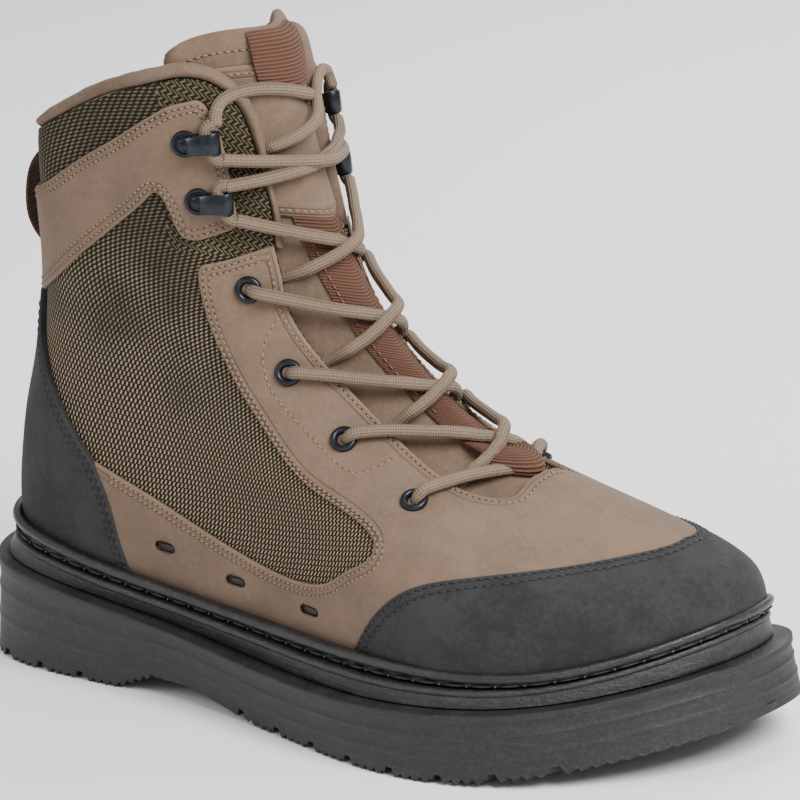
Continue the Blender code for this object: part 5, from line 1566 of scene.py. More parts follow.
class WADING_OT_sole(BootOperator, bpy.types.Operator):
    """Make the outsole with its tread, the midsole band and the welt with its stitches."""

    bl_idname = "wading.sole"
    bl_label = "Sole"

    def build(self):
        sole = Sole(SOLE_STEPS)
        self.outsole(sole)
        sole = Sole(BAND_STEPS)
        self.midsole(sole)
        self.welt(sole)
        self.welt_stitches(sole)

    def outsole(self, sole):
        lean = sole.inset("ledge", sole.points[:, 0])
        count = len(sole.points)
        ledge = sole.height("ledge", sole.points[:, 0])
        shares = [0.0, 0.03, 0.08, 0.16, 0.26, 0.31, 0.34, 0.37, 0.40, 0.43, 0.46, 0.51, 0.58, 0.61, 0.64,
                  0.67, 0.70, 0.73, 0.78, 0.86, 0.90, 0.94]
        outs = []
        loops = []
        for share in shares:
            ridge = 0.5 * sum(math.exp(-((share - middle) / 0.028) ** 2) for middle in (0.385, 0.670))
            ridge += 1.15 * min(1.0, max(0.0, (share - 0.84) / 0.06))
            outs.append((share, ridge))
        outs += [(0.965, 1.3), (0.985, 1.15), (1.0, 0.6)]
        for share, ridge in outs:
            loop = sole.line(lean * share - ridge * SIDE_RIDGE, sole.between("underside", "ledge", share))
            base = tread_height(sole, loop[:, 0], np.ones(count))
            low = base + (ledge - base) * share * 0.02
            loop[:, 2] = np.maximum(loop[:, 2], low)
            loops.append(loop)
        inner = sole.line(lean + 0.0040, sole.between("underside", "ledge", 1.0))
        loops.append(inner)
        verts = list(np.concatenate(loops))
        faces = []
        for level in range(len(loops) - 1):
            low = level * count
            high = (level + 1) * count
            for i in range(count):
                j = (i + 1) % count
                faces.append((low + i, low + j, high + j, high + i))
        top = (len(loops) - 1) * count
        half = count // 2
        for i in range(half):
            ends = list(dict.fromkeys([i, i + 1, count - i - 1, (count - i) % count]))
            faces.append([top + k for k in ends])
        columns = np.array([-c for c in TREAD_COLUMNS[:0:-1]] + list(TREAD_COLUMNS))
        bottom = loops[0]
        lateral = bottom[np.arange(half + 1)]
        medial = bottom[(-np.arange(half + 1)) % count]
        middle = (lateral + medial) / 2
        grid = []
        for column in columns:
            side = medial if column > 0 else lateral
            line = middle + (side - middle) * abs(column)
            if abs(column) < 1.0:
                line = line.copy()
                line[:, 2] = tread_height(sole, line[:, 0], np.full(half + 1, column))
            grid.append(line)
        start = len(verts)
        for line in grid:
            verts += list(line)
        wide = half + 1
        for j in range(len(columns) - 1):
            for i in range(half):
                a = start + j * wide + i
                faces.append((a, a + wide, a + wide + 1, a + 1))
        item = mesh_object("outsole_rubber", verts, faces, [finish(outsole_rubber)], sharp=32.0, merge=3e-5)
        keep(item, "rubber", "outsole")

    def midsole(self, sole):
        x = sole.points[:, 0]
        band = sole.inset("band", x)
        lip = sole.inset("lip", x)
        loops = [sole.line(band + 0.003, sole.between("ledge", "lip", 0.0)),
                 sole.line(band + 0.0004, sole.between("ledge", "lip", 0.0)),
                 sole.line(band, sole.between("ledge", "lip", 0.06))]
        rows = ((0.15, 0.12, 0.0, 0.0), (0.3, 0.3, 0.0, 0.0), (0.45, 0.5, 0.0, 0.0), (0.62, 0.72, 0.0, 0.0),
                (0.8, 0.9, -0.15, 0.0), (1.0, 1.0, -0.08, 2.2), (1.0, 1.0, 0.15, 1.95), (1.0, 1.0, 0.45, 1.5),
                (1.0, 1.0, 0.52, 1.1), (1.0, 1.0, 0.40, 0.6), (1.0, 1.0, 0.10, 0.22), (1.0, 1.0, -0.35, 0.04),
                (1.0, 1.0, -1.2, 0.0))
        for share, blend, out, drop in rows:
            inset = band * (1.0 - blend) + lip * blend - out * LIP_RADIUS
            loops.append(sole.line(inset, sole.between("ledge", "lip", share, -drop * LIP_RADIUS)))
        loops.append(sole.line(sole.inset("bead", x) + FEATHER_INSET, sole.between("ledge", "lip", 1.0)))
        item = mesh_object("midsole_band", *loft(loops), [finish(midsole_rubber)], sharp=45.0, merge=3e-5)
        keep(item, "rubber", "midsole")

    def welt_loop(self, sole, depth, up):
        inset = sole.inset("bead", sole.points[:, 0])
        return sole.line(inset + depth, sole.between("lip", "bead", 1.0, up))

    def welt(self, sole):
        inset = sole.inset("bead", sole.points[:, 0])
        outer = [sole.line(inset + 0.0009, sole.between("lip", "bead", 0.0, GAP)),
                 sole.line(inset + 0.0011, sole.between("lip", "bead", 0.35, 0.0))]
        radius = BEAD_RADIUS * 1.06
        for turn in np.linspace(-1.35, 1.9, 12):
            out = math.cos(turn) * 1.05
            up = math.sin(turn)
            outer.append(self.welt_loop(sole, -out * BEAD_RADIUS, (up - 1.0) * radius))
        inner = []
        for way in (0.9 * LAST.ways[1], 0.0):
            around_boot = LAST.at(np.linspace(0.0, 1.0, 2401)[:-1], way, 0.0007)
            gaps = np.linalg.norm(outer[-1][:, None, :2] - around_boot[None, :, :2], axis=2)
            inner.append(around_boot[np.argmin(gaps, axis=1)])
        inner[0][:, 2] = np.minimum(inner[0][:, 2], sole.height("bead", inner[0][:, 0]) - 0.25 * BEAD_RADIUS)
        inner[1][:, 2] = sole.height("lip", inner[1][:, 0]) + 2 * GAP
        verts, faces = loft(outer + inner, closed=True)
        item = mesh_object("welt_bead", verts, faces, [finish(bead_rubber)], sharp=60.0, merge=3e-5)
        keep(item, "rubber", "welt")

    def welt_stitches(self, sole):
        inset = sole.inset("bead", sole.points[:, 0])
        low = sole.line(inset - 0.0004, sole.between("lip", "bead", 0.20))
        closed = np.concatenate((low, low[:1]))
        metres = distance_along(closed)
        pitch = sizes().welt_pitch
        count = int(metres[-1] / pitch)
        middles, turns, dots, dot_turns = [], [], [], []
        for k in range(count):
            start, before, middle, after = (point_at(metres, closed, (k + share) / count * metres[-1])
                                            for share in (0.0, 0.1, 0.5, 0.9))
            forward = after - before
            forward /= np.linalg.norm(forward)
            out = np.cross(forward, (0.0, 0.0, 1.0))
            out /= np.linalg.norm(out)
            middles.append(middle)
            turns.append(turned(forward, out))
            dots.append(start + out * 0.0006)
            dot_turns.append(turns[-1])
        dark = finish(black_thread)
        settings = {"Length": pitch * 0.84, "Width": 0.00115, "Height": 0.0016, "Thread": dark, "Sides": 8}
        repeat("welt_stitches", sewing_tree(), middles, turns, settings, "rubber")
        # Pale dots of painted glint between the welt's stitches.
        pale = finish(welt_glint)
        settings = {"Length": 0.0008, "Width": 0.0009, "Height": 0.0008, "Thread": pale, "Sides": 6}
        repeat("welt_glints", sewing_tree(), dots, dot_turns, settings, "rubber")


class WADING_OT_insole(BootOperator, bpy.types.Operator):
    """Make the cushioned footbed."""

    bl_idname = "wading.insole"
    bl_label = "Insole"

    def build(self):
        places = np.linspace(0.0, 1.0, 241)[:-1]
        loops = []
        rows = ((0.0, 0.0008), (0.0006, 0.0002), (0.0020, 0.0), (0.0036, 0.0002), (0.0045, 0.0012))
        for up, further in rows:
            line = LAST.at(places, up / UPPER_HEIGHT * 1.6, -(inner_face(0.0) + INSOLE_CLEARANCE + further))
            line[:, 2] = SOLE.height("lip", line[:, 0]) + GAP + up
            loops.append(line)
        verts, faces = loft(loops)
        item = mesh_object("footbed", verts, faces, [finish(lining_cloth)], sharp=50.0,
                           values={"way": np.zeros(len(verts))})
        keep(item, "lining", "insole")


def strip_uv(grid):
    """Metres along and across a grid of points, rows by columns."""
    along = np.linalg.norm(np.diff(grid, axis=0), axis=2)
    along = np.concatenate((np.zeros((1, grid.shape[1])), np.cumsum(along, axis=0)))
    across = np.linalg.norm(np.diff(grid, axis=1), axis=2)
    across = np.concatenate((np.zeros((grid.shape[0], 1)), np.cumsum(across, axis=1)), axis=1)
    middle = grid.shape[1] // 2
    across -= across[:, middle:middle + 1].copy()
    return np.column_stack((np.repeat(along[:, middle], grid.shape[1]), across.ravel()))


class WADING_OT_collar(BootOperator, bpy.types.Operator):
    """Make the padded binding round the collar and down the front edges."""

    bl_idname = "wading.collar"
    bl_label = "Collar roll"

    def build(self):
        lateral = fine(COLLAR_EDGE)[::-1]
        line = np.concatenate((lateral, lateral[:-1][::-1] * (-1.0, 1.0)))
        low = np.clip((0.960 - line[:, 1]) / 0.05, 0.0, 1.0) * (np.abs(line[:, 0]) > 0.44)
        ripple = 1.0 + 0.025 * np.sin(line[:, 0] * 61.0) + 0.015 * np.sin(line[:, 0] * 143.0 + 1.3)
        full = COLLAR_ROLL_HEIGHT * 1.15
        high = (full + (COLLAR_ROLL_LOW * 1.25 - full) * low) * ripple
        rings = []
        for turn in np.linspace(0.0, 2 * math.pi, 19)[:-1]:
            square = 1.0 - 0.10 * math.sin(2 * turn) ** 2
            chart = beside(line, -(GAP * 0.5 + high / 2 * (1 + math.sin(turn) * square)))
            wall = (WALL + pad(chart[:, 1])) / 2
            out = (wall * 1.08 + GAP) * math.cos(turn) * square
            rings.append(skin(chart[:, 0], chart[:, 1], -(OVERLAY + GAP + wall) - out))
        rings = np.stack(rings, axis=1)
        verts, faces = tube_faces(rings)
        item = mesh_object("collar_binding", verts, faces, [finish(soft_nubuck)], sharp=70.0)
        keep(item, "brown_nubuck", "collar_roll")


class WADING_OT_tongue(BootOperator, bpy.types.Operator):
    """Make the padded tongue with its patch, lace keeper and pull loop."""

    bl_idname = "wading.tongue"
    bl_label = "Tongue"

    def build(self):
        tongue = Tongue(LAST)
        self.cushion(tongue)
        self.patch(tongue)
        self.keeper(tongue)
        self.pull_loop(tongue)

    def bulge(self, across, row):
        """Height of the padded front above the flat one."""
        lip = np.exp(-((np.abs(across) - 0.80) / 0.16) ** 2) * np.clip((row - 0.955) / 0.03, 0.0, 1.0)
        top = np.exp(-((row - 1.004) / 0.014) ** 2) * np.clip(1.0 - np.abs(across) ** 6, 0.0, 1.0)
        middle = np.clip(1.0 - (across / 0.42) ** 2, 0.0, 1.0) * np.clip((row - 0.50) / 0.06, 0.0, 1.0)
        return 0.0016 * lip + 0.0010 * top + 0.0004 * middle

    def cushion(self, tongue):
        wide = 61
        columns = np.sin(np.linspace(-math.pi / 2, math.pi / 2, wide))
        rows = np.concatenate((np.linspace(0.455, 0.955, 80), np.linspace(0.960, 1.0165, 26)))
        across, up = (axis.ravel() for axis in np.meshgrid(columns, rows))
        swell = (1 - across**4) * np.interp(up, (0.455, 0.7, 0.9, 1.0, 1.022), (0.1, 0.4, 1.0, 1.0, 0.45))
        depth = TONGUE_EDGE + (TONGUE_THICKNESS - TONGUE_EDGE) * swell
        edge = 0.18 * TONGUE_THICKNESS * np.abs(across) ** 6
        end = np.clip((up - 1.004) / 0.0125, 0.0, 1.0) ** 2
        front = tongue.at(across, up, edge + end * 0.0020 - self.bulge(across, up))
        back = tongue.at(across, up, depth + edge - end * 0.0012)
        verts, faces = sheet(front, back, wide, len(rows))
        item = mesh_object("tongue_cushion", verts, faces, [finish(soft_nubuck)], sharp=70.0)
        item.modifiers.new("Round", "SUBSURF").levels = 1
        item.modifiers["Round"].render_levels = 1
        keep(item, "brown_nubuck", "tongue")

    def front(self, tongue):
        def surface(across, row, height):
            across = np.asarray(across, float)
            row = np.asarray(row, float)
            return tongue.at(across, row, -(np.asarray(height) + self.bulge(across, row)))
        return surface

    def patch(self, tongue):
        surface = self.front(tongue)
        wide = 33
        columns = np.linspace(-0.60, 0.60, wide)
        rows = np.linspace(0.890, 0.994, 45)
        across, up = (axis.ravel() for axis in np.meshgrid(columns, rows))
        border = np.minimum((up - 0.890) * 0.5, (0.994 - up) * 0.5)
        border = np.minimum((0.60 - np.abs(across)) * 0.030, border)
        puff = 0.0009 * np.clip(border / 0.006, 0.0, 1.0) ** 0.5
        thick = GAP + np.where(border < 0.0004, 0.0004, 0.0010) + puff
        front = surface(across, up, thick)
        back = surface(across, up, np.full(len(across), GAP * 0.3))
        verts, faces = sheet(front, back, wide, len(rows))
        item = mesh_object("tongue_front_patch", verts, faces, [finish(panel_nubuck)], sharp=60.0,
                           values={"rim": np.tile(border * 1000, 2)})
        keep(item, "brown_nubuck", "tongue_patch")
        tan = finish(tan_thread)
        lines = [np.column_stack((np.linspace(-0.90, 0.90, 90), np.full(90, 1.0035)))]
        for side in (-0.90, 0.90):
            lines.append(np.column_stack((np.full(30, side), np.linspace(0.965, 1.0035, 30))))
        sew("tongue_edge_stitches", lines, 0.0026, sizes().thread, tan, "brown_nubuck", height=0.0002,
            surface=surface)
        lines = []
        for row in (0.896, 0.902, 0.983, 0.989):
            lines.append(np.column_stack((np.linspace(-0.56, 0.56, 60), np.full(60, row))))
        for side in (-0.55, 0.55):
            lines.append(np.column_stack((np.full(40, side), np.linspace(0.896, 0.989, 40))))
        sew("patch_stitches", lines, 0.0026, sizes().thread, tan, "brown_nubuck", height=GAP + 0.0016,
            surface=surface)

    def keeper(self, tongue):
        """Webbing down the tongue's front, folded into a loop for the lowest bar of lace."""
        path = ((0.896, 0.0006), (0.860, 0.0003), (0.800, 0.0003), (0.740, 0.0003), (0.690, 0.0003),
                (0.650, 0.0006), (0.628, 0.0010), (0.612, 0.0022), (0.602, 0.0038), (0.592, 0.0050),
                (0.580, 0.0054),
                (0.5700, 0.0048), (0.5660, 0.0030), (0.5680, 0.0010), (0.576, -0.0004), (0.590, -0.0010),
                (0.604, -0.0014))
        path = through(path, 150)
        self.strip("lace_keeper_webbing", tongue, path, 0.345, 0.0011, 21, "lace_keeper")
        surface = self.front(tongue)
        tan = finish(keeper_thread)
        lines = []
        for side in (-0.285, 0.285):
            lines.append(np.column_stack((np.full(60, side), np.linspace(0.66, 0.878, 60))))
        for row in (0.872, 0.878):
            lines.append(np.column_stack((np.linspace(-0.29, 0.29, 12), np.full(12, row))))
        sew("keeper_stitches", lines, 0.0030, 0.0006, tan, "webbing", height=0.0016, surface=surface,
            holes=False)

    def strip(self, name, tongue, path, half, thick, wide, node):
        """Webbing along a path of rows and heights on the tongue's front."""
        rising = path[-1][0] > path[0][0]
        columns = np.linspace(-half, half, wide) * (1.0 if rising else -1.0)
        grid = []
        for row, height in path:
            grid.append(tongue.at(columns, np.full(wide, row), -height))
        grid = np.array(grid)
        along = np.gradient(grid, axis=0)
        across = np.gradient(grid, axis=1)
        normal = np.cross(across, along)
        normal /= np.linalg.norm(normal, axis=2)[:, :, None]
        if normal[0, wide // 2].dot((0.6, 0.0, 0.8)) < 0:
            normal = -normal
        edge = 1.0 - 0.35 * np.abs(np.linspace(-1, 1, wide)) ** 8
        uv = strip_uv(grid)
        metres = uv[:, 0].reshape(len(grid), wide)
        ribs = 0.00012 * np.sin(metres * 2 * math.pi / RIB)
        front = grid + normal * (thick * edge[None] + ribs)[:, :, None]
        verts, faces = sheet(front.reshape(-1, 3), grid.reshape(-1, 3), wide, len(grid))
        item = mesh_object(name, verts, faces, [finish(keeper_webbing)], sharp=60.0,
                           uv=np.concatenate((uv, uv)))
        keep(item, "webbing", node)

    def pull_loop(self, tongue):
        """Ribbed loop that runs up the front, over the top and down the back of the tongue."""
        path = ((0.978, 0.0026), (0.986, 0.0030), (0.994, 0.0032), (1.001, 0.0030), (1.006, 0.0024),
                (1.0100, 0.0010), (1.0125, -0.0012), (1.0125, -0.0040), (1.0105, -0.0066), (1.005, -0.0086),
                (0.997, -0.0098))
        path = through(path, 90)
        self.strip("tongue_pull_loop", tongue, path, 0.26, 0.0014, 21, "tongue_loop")


class WADING_OT_heel_loop(BootOperator, bpy.types.Operator):
    """Make the webbing loop behind the heel."""

    bl_idname = "wading.heel_loop"
    bl_label = "Heel pull loop"

    def build(self):
        rows = (0.700, 0.712, 0.735, 0.765, 0.800, 0.840, 0.880, 0.912, 0.935, 0.948)
        stand = (0.0, 0.0, 0.42, 0.82, 1.0, 1.0, 0.82, 0.38, 0.0, 0.0)
        rows = through(rows, 120)
        stand = np.clip(through(stand, 120), 0.0, 1.1)
        wide = 15
        columns = np.linspace(-0.5, 0.5, wide) * PULL_LOOP_WIDTH
        front, back = [], []
        edge = 1.0 - 0.35 * np.abs(np.linspace(-1, 1, wide)) ** 8
        for row, share in zip(rows, stand):
            u = columns / chart_scale(np.zeros(1), np.array([row]))[0, 0]
            out = 0.0004 + PULL_LOOP_STAND * 1.65 * share
            back.append(skin(u, np.full(wide, row), out))
            front.append(skin(u, np.full(wide, row), out + 0.0014 * edge))
        grid = np.array(front)
        uv = strip_uv(grid)
        verts, faces = sheet(np.concatenate(front), np.concatenate(back), wide, len(rows))
        item = mesh_object("heel_loop_webbing", verts, faces, [finish(heel_webbing)], sharp=60.0,
                           uv=np.concatenate((uv, uv)))
        keep(item, "webbing", "heel_pull_loop")


def place_frame(u, v):
    """Point on the overlay's face with its directions forwards round the boot, up and out."""
    small = 0.004
    centre = skin(u, v)[0]
    forward = LAST.at(u + small, v)[0] - LAST.at(u - small, v)[0]
    up = LAST.at(u, v + small)[0] - LAST.at(u, v - small)[0]
    out = np.cross(forward, up)
    out /= np.linalg.norm(out)
    forward -= out * forward.dot(out)
    forward /= np.linalg.norm(forward)
    return centre, forward, np.cross(out, forward), out


def spun(centre, forward, up, out, profile, sides):
    """Rings of a turned shape, from its reach and height at each step."""
    turns = np.linspace(0.0, 2 * math.pi, sides + 1)[:-1]
    rings = []
    for reach, height in profile:
        rings.append([centre + forward * math.cos(turn) * reach + up * math.sin(turn) * reach + out * height
                      for turn in turns])
    return np.array(rings)


class WADING_OT_eyelets(BootOperator, bpy.types.Operator):
    """Turn the eight eyelets, each with its barrel and washer."""

    bl_idname = "wading.eyelets"
    bl_label = "Eyelets"

    def build(self):
        hole = EYELET_HOLE
        radius = EYELET_RADIUS
        profile = ((hole * 0.92, -0.0016), (radius * 0.97, -0.0002), (radius * 1.03, 0.0003),
                   (radius * 1.04, 0.0008), (radius * 0.99, 0.0014), (radius * 0.90, 0.0018),
                   (radius * 0.78, 0.00195), (hole * 1.42, 0.0018), (hole * 1.22, 0.0014),
                   (hole * 1.08, 0.0008), (hole * 0.98, 0.0))
        for side in ("lateral", "medial"):
            for number, (u, v) in enumerate(EYELETS, 1):
                centre, forward, up, out = place_frame(u if side == "lateral" else 1.0 - u, v)
                verts, faces = loft(spun(centre, forward, up, out, profile, 40), closed=True)
                item = mesh_object("eyelet_ring_%s_%d" % (side, number), verts, faces,
                                   [finish(black_metal)], sharp=70.0)
                keep(item, "metal", "eyelet_%s_%d" % (side, number))


class WADING_OT_hooks(BootOperator, bpy.types.Operator):
    """Bend the four lace hooks, each with its rivet."""

    bl_idname = "wading.hooks"
    bl_label = "Lace hooks"
    foot_profile = ((0.00002, 0.0), (0.0044, 0.0), (0.0047, 0.0004), (0.0046, 0.0011), (0.0042, 0.0015),
                    (0.0035, 0.0015), (0.0031, 0.0009), (0.00002, 0.0009))
    rivet_profile = ((0.00002, 0.0005), (0.0025, 0.0005), (0.0026, 0.0013), (0.0022, 0.0020),
                     (0.0012, 0.0024), (0.00002, 0.0025))

    def build(self):
        for side in ("lateral", "medial"):
            for number, (u, v) in enumerate(HOOKS, 1):
                centre, forward, up, out = place_frame(u if side == "lateral" else 1.0 - u, v)
                back = -forward if side == "lateral" else forward
                verts, faces = self.plate(centre, back, up, out)
                foot = centre + back * HOOK_LENGTH * 0.42
                for profile in (self.foot_profile, self.rivet_profile):
                    more_verts, more_faces = tube_faces(spun(foot, back, up, out, profile, 28))
                    faces = faces + [tuple(len(verts) + k for k in face) for face in more_faces]
                    verts = np.concatenate((verts, more_verts))
                item = mesh_object("hook_%s_%d" % (side, number), verts, faces, [finish(black_metal)],
                                   sharp=45.0)
                self.outward(item)
                keep(item, "metal", "lace_hook_%s_%d" % (side, number))

    def outward(self, item):
        """Turn every face outwards."""
        builder = bmesh.new()
        builder.from_mesh(item.data)
        bmesh.ops.recalc_face_normals(builder, faces=builder.faces)
        builder.to_mesh(item.data)
        builder.free()

    def plate(self, centre, back, up, out):
        """Plate that runs forward from the rivet, turns over and comes back above."""
        length = HOOK_LENGTH * HOOK_REACH
        metal = HOOK_METAL
        path = [(length * 0.70, metal / 2)]
        radius = (HOOK_HEIGHT - metal) / 2
        for turn in np.linspace(-math.pi / 2, -3 * math.pi / 2, 15):
            path.append((metal / 2 + radius * (1.0 + math.cos(turn)),
                         HOOK_HEIGHT / 2 + radius * math.sin(turn)))
        path += [(length * 0.45, HOOK_HEIGHT - metal / 2), (length * 0.60, HOOK_HEIGHT - metal * 0.3),
                 (length * 0.70, HOOK_HEIGHT + metal * 0.35)]
        path = np.array(path)
        along = np.gradient(path, axis=0)
        along /= np.linalg.norm(along, axis=1)[:, None]
        across = np.column_stack((-along[:, 1], along[:, 0]))
        rows = []
        for k, (point, normal) in enumerate(zip(path, across)):
            share = k / (len(path) - 1)
            half = HOOK_WIDTH / 2 * (0.82 + 0.26 * math.sin(math.pi * share))
            row = []
            for x, y in ((-1.0, 0.55), (-0.88, 1.0), (0.0, 1.12), (0.88, 1.0), (1.0, 0.55), (1.0, -0.55),
                         (0.88, -1.0), (0.0, -1.0), (-0.88, -1.0), (-1.0, -0.55)):
                place = point + normal * y * metal / 2
                row.append(centre + back * (place[0] - length / 2) + out * (GAP * 0.3 + place[1])
                           + up * half * x)
            rows.append(row)
        return tube_faces(np.array(rows))


def taut(start, end, count=29):
    """Chart points of the shortest way over the last between two places."""
    u = np.linspace(start[0], end[0], count)
    v = np.linspace(start[1], end[1], count)
    step = 0.01
    for _ in range(70):
        for odd in (1, 2):
            chosen = np.arange(odd, count - 1, 2)
            before = LAST.points(u[chosen - 1], v[chosen - 1])
            after = LAST.points(u[chosen + 1], v[chosen + 1])
            best = v[chosen]
            least = np.full(len(chosen), np.inf)
            for move in (0.0, -step, step):
                point = LAST.points(u[chosen], v[chosen] + move)
                length = np.linalg.norm(point - before, axis=1) + np.linalg.norm(after - point, axis=1)
                better = length < least - 1e-9
                least[better] = length[better]
                best = np.where(better, v[chosen] + move, best)
            v[chosen] = best
        step *= 0.93
    return np.column_stack((u, v))


def throat_edge(v):
    """Place of the throat's lateral edge at a way up."""
    rows = THROAT_EDGE[:7][::-1] + ((0.452, 0.900), (0.453, 0.930), (0.452, 0.960))
    return np.interp(v, [row[1] for row in rows], [row[0] for row in rows])


def near_hook(hook, forward, up):
    """Chart place that lies forward of a hook's middle and up from it, in metres."""
    scale = chart_scale(np.array(hook[:1]), np.array(hook[1:]))[0]
    return hook[0] + forward / scale[0], hook[1] + up / scale[1]


class WADING_OT_laces(BootOperator, bpy.types.Operator):
    """Run the braided laces through the eyelets and round the hooks."""

    bl_idname = "wading.laces"
    bl_label = "Laces"

    def build(self):
        self.verts = []
        self.faces = []
        self.uv = []
        bar = smooth_line(LOWEST_BAR, 0.004)
        bar = np.concatenate((bar, mirrored_uv(bar)[:-1][::-1]))
        self.strand(bar, -0.0040, "eyelet", "eyelet", 0.015)
        for number in range(3):
            self.crossing(EYELETS[number + 1], EYELETS[number], CROSSING_LIFT[number], "eyelet", "under")
        low_hook, top_hook = HOOKS
        self.crossing(near_hook(low_hook, HOOK_BEYOND, -HOOK_BESIDE), EYELETS[3], 0.0, "hook_up", "under")
        self.crossing(near_hook(low_hook, HOOK_BEYOND, HOOK_BESIDE),
                      near_hook(top_hook, HOOK_BEYOND, -HOOK_BESIDE), 0.0, "open", "open")
        for hook in HOOKS:
            for medial in (False, True):
                self.round_hook(hook, medial)
        self.loose_tops()
        item = mesh_object("boot_lace", self.verts, self.faces, [finish(lace_braid)], sharp=80.0,
                           merge=0.0, uv=self.uv)
        keep(item, "lace", "lace_lowest_bar", *["lace_crossing_%d" % number for number in range(1, 6)])

    def crossing(self, start, end, lift, first, last):
        """A strand from each side; the one from the medial side lies on top."""
        line = taut(start, (1.0 - end[0], end[1]))
        line[:, 1] += lift * np.sin(np.linspace(0.0, math.pi, len(line)))
        self.strand(line, -0.0019, first, last, 0.0068)
        self.strand(mirrored_uv(line), 0.0021, first, last, 0.0068)

    def strand(self, line, raised, first, last, spread):
        """Tube along a chart line. It starts and ends in an eyelet, beside a hook or under the far edge."""
        medial = line[0, 0] > 0.5
        near = mirrored_uv(line) if medial else line
        places = np.arange(len(line))
        ways = np.linspace(0, len(line) - 1, 141)
        u = np.interp(ways, places, near[:, 0])
        v = np.interp(ways, places, near[:, 1])
        real_u = 1.0 - u if medial else u
        metres = distance_along(LAST.points(real_u, v))
        enter = metres[np.argmax(u > throat_edge(v))]
        leave = metres[np.argmax(u > 1.0 - throat_edge(v))]
        middle = (enter + leave) / 2
        over = GAP + LACE_RADIUS
        clearance = np.interp(v, (0.80, 0.84), (LACE_CLEARANCE, LACE_CLEARANCE_TOP))
        bed = -(inner_face(v) + SOFT_CLEARANCE) + WEBBING + clearance + LACE_RADIUS
        slope = 0.0060
        if last == "under":
            finish_at = leave + 0.0060
            knots = [enter, enter + slope, middle, leave - 0.0105, leave - 0.0035, finish_at]
            shares = [1.04, 0.72, 0.0, -0.35, None, None]
        else:
            finish_at = metres[-1]
            knots = [enter, enter + slope, middle, leave - slope, leave]
            shares = [1.12, 0.75, 0.0, 0.75, 1.12]
        heights = []
        for knot, share in zip(knots, shares):
            low = float(np.interp(knot, metres, bed))
            if share is None:
                heights.append(-0.0050 if knot < finish_at else -0.0072)
            else:
                heights.append(low + (over - low) * share if share >= 0 else low + share * 0.005)
        if first == "eyelet":
            later = [max(knot, 0.0056 + 0.0001 * k) for k, knot in enumerate(knots)]
            knots = [0.0, 0.0012, 0.0030, 0.0052] + later
            heights = [-0.0020, 0.0012, 0.0034, 0.0035] + heights
        else:
            knots = [0.0] + [max(knot, 0.001) for knot in knots]
            heights = [HOOK_LACE_HEIGHT] + heights
        if last == "eyelet":
            total = metres[-1]
            knots += [total - 0.0052, total - 0.0030, total - 0.0012, total]
            heights += [0.0035, 0.0034, 0.0012, -0.0020]
        elif last == "open":
            knots += [finish_at + 1e-6]
            heights += [HOOK_LACE_HEIGHT]
        steps = np.linspace(0.0, finish_at, 110)
        order = np.argsort(knots)
        height = np.interp(steps, np.array(knots)[order], np.array(heights)[order])
        soft = height.copy()
        for _ in range(6):
            soft[1:-1] = (soft[:-2] + 2 * soft[1:-1] + soft[2:]) / 4
        hump = raised * np.exp(-((steps - middle) / spread) ** 2)
        height = soft + hump
        at_u = np.interp(steps, metres, real_u)
        at_v = np.interp(steps, metres, v)
        middle_line = LAST.at(at_u, at_v, height)
        above = LAST.at(at_u, at_v, height + 0.001) - middle_line
        self.tube(middle_line, above)

    def round_hook(self, hook, medial):
        """Turn of the lace through a hook."""
        ways = ((HOOK_BEYOND + 0.0004, -HOOK_BESIDE, HOOK_LACE_HEIGHT), (0.0056, -0.0062, 0.0040),
                (0.0040, -0.0050, 0.0036), (0.0034, -0.0024, 0.0034), (0.0033, 0.0, 0.0034),
                (0.0034, 0.0024, 0.0034), (0.0040, 0.0050, 0.0036), (0.0056, 0.0062, 0.0040),
                (HOOK_BEYOND + 0.0004, HOOK_BESIDE, HOOK_LACE_HEIGHT))
        ways = through(ways, 48)
        chart = np.array([near_hook(hook, forward, up) for forward, up, _ in ways])
        if medial:
            chart = mirrored_uv(chart)
        line = LAST.at(chart[:, 0], chart[:, 1], ways[:, 2])
        above = LAST.at(chart[:, 0], chart[:, 1], ways[:, 2] + 0.001) - line
        self.tube(line, above)

    def loose_tops(self):
        """Last two strands from the top hooks, tucked under each other on the tongue."""
        start = near_hook(HOOKS[1], HOOK_BEYOND + 0.0004, HOOK_BESIDE)
        near = ((0.440, 0.974), (0.470, 0.979), (0.500, 0.974), (0.528, 0.966))
        far = ((0.440, 0.972), (0.470, 0.968), (0.500, 0.956), (0.530, 0.944), (0.548, 0.936))
        for route, raised, medial in ((near, -0.0004, False), (far, 0.0030, True)):
            chart = through((start, *route), 90)
            share = np.linspace(0.0, 1.0, 90)
            bed = -(inner_face(chart[:, 1]) + SOFT_CLEARANCE) + LACE_RADIUS + 0.0026
            height = np.interp(share, (0.0, 0.16, 0.45), (HOOK_LACE_HEIGHT, 0.0036, 0.0))
            blend = np.interp(share, (0.0, 0.16, 0.45), (0.0, 0.10, 1.0))
            lower = bed + raised * np.exp(-((share - 0.66) / 0.16) ** 2)
            lower -= 0.0045 * np.clip((share - 0.84) / 0.16, 0.0, 1.0)
            height = height * (1 - blend) + lower * blend
            if medial:
                chart = mirrored_uv(chart)
            line = LAST.at(chart[:, 0], chart[:, 1], height)
            above = LAST.at(chart[:, 0], chart[:, 1], height + 0.001) - line
            self.tube(line, above)

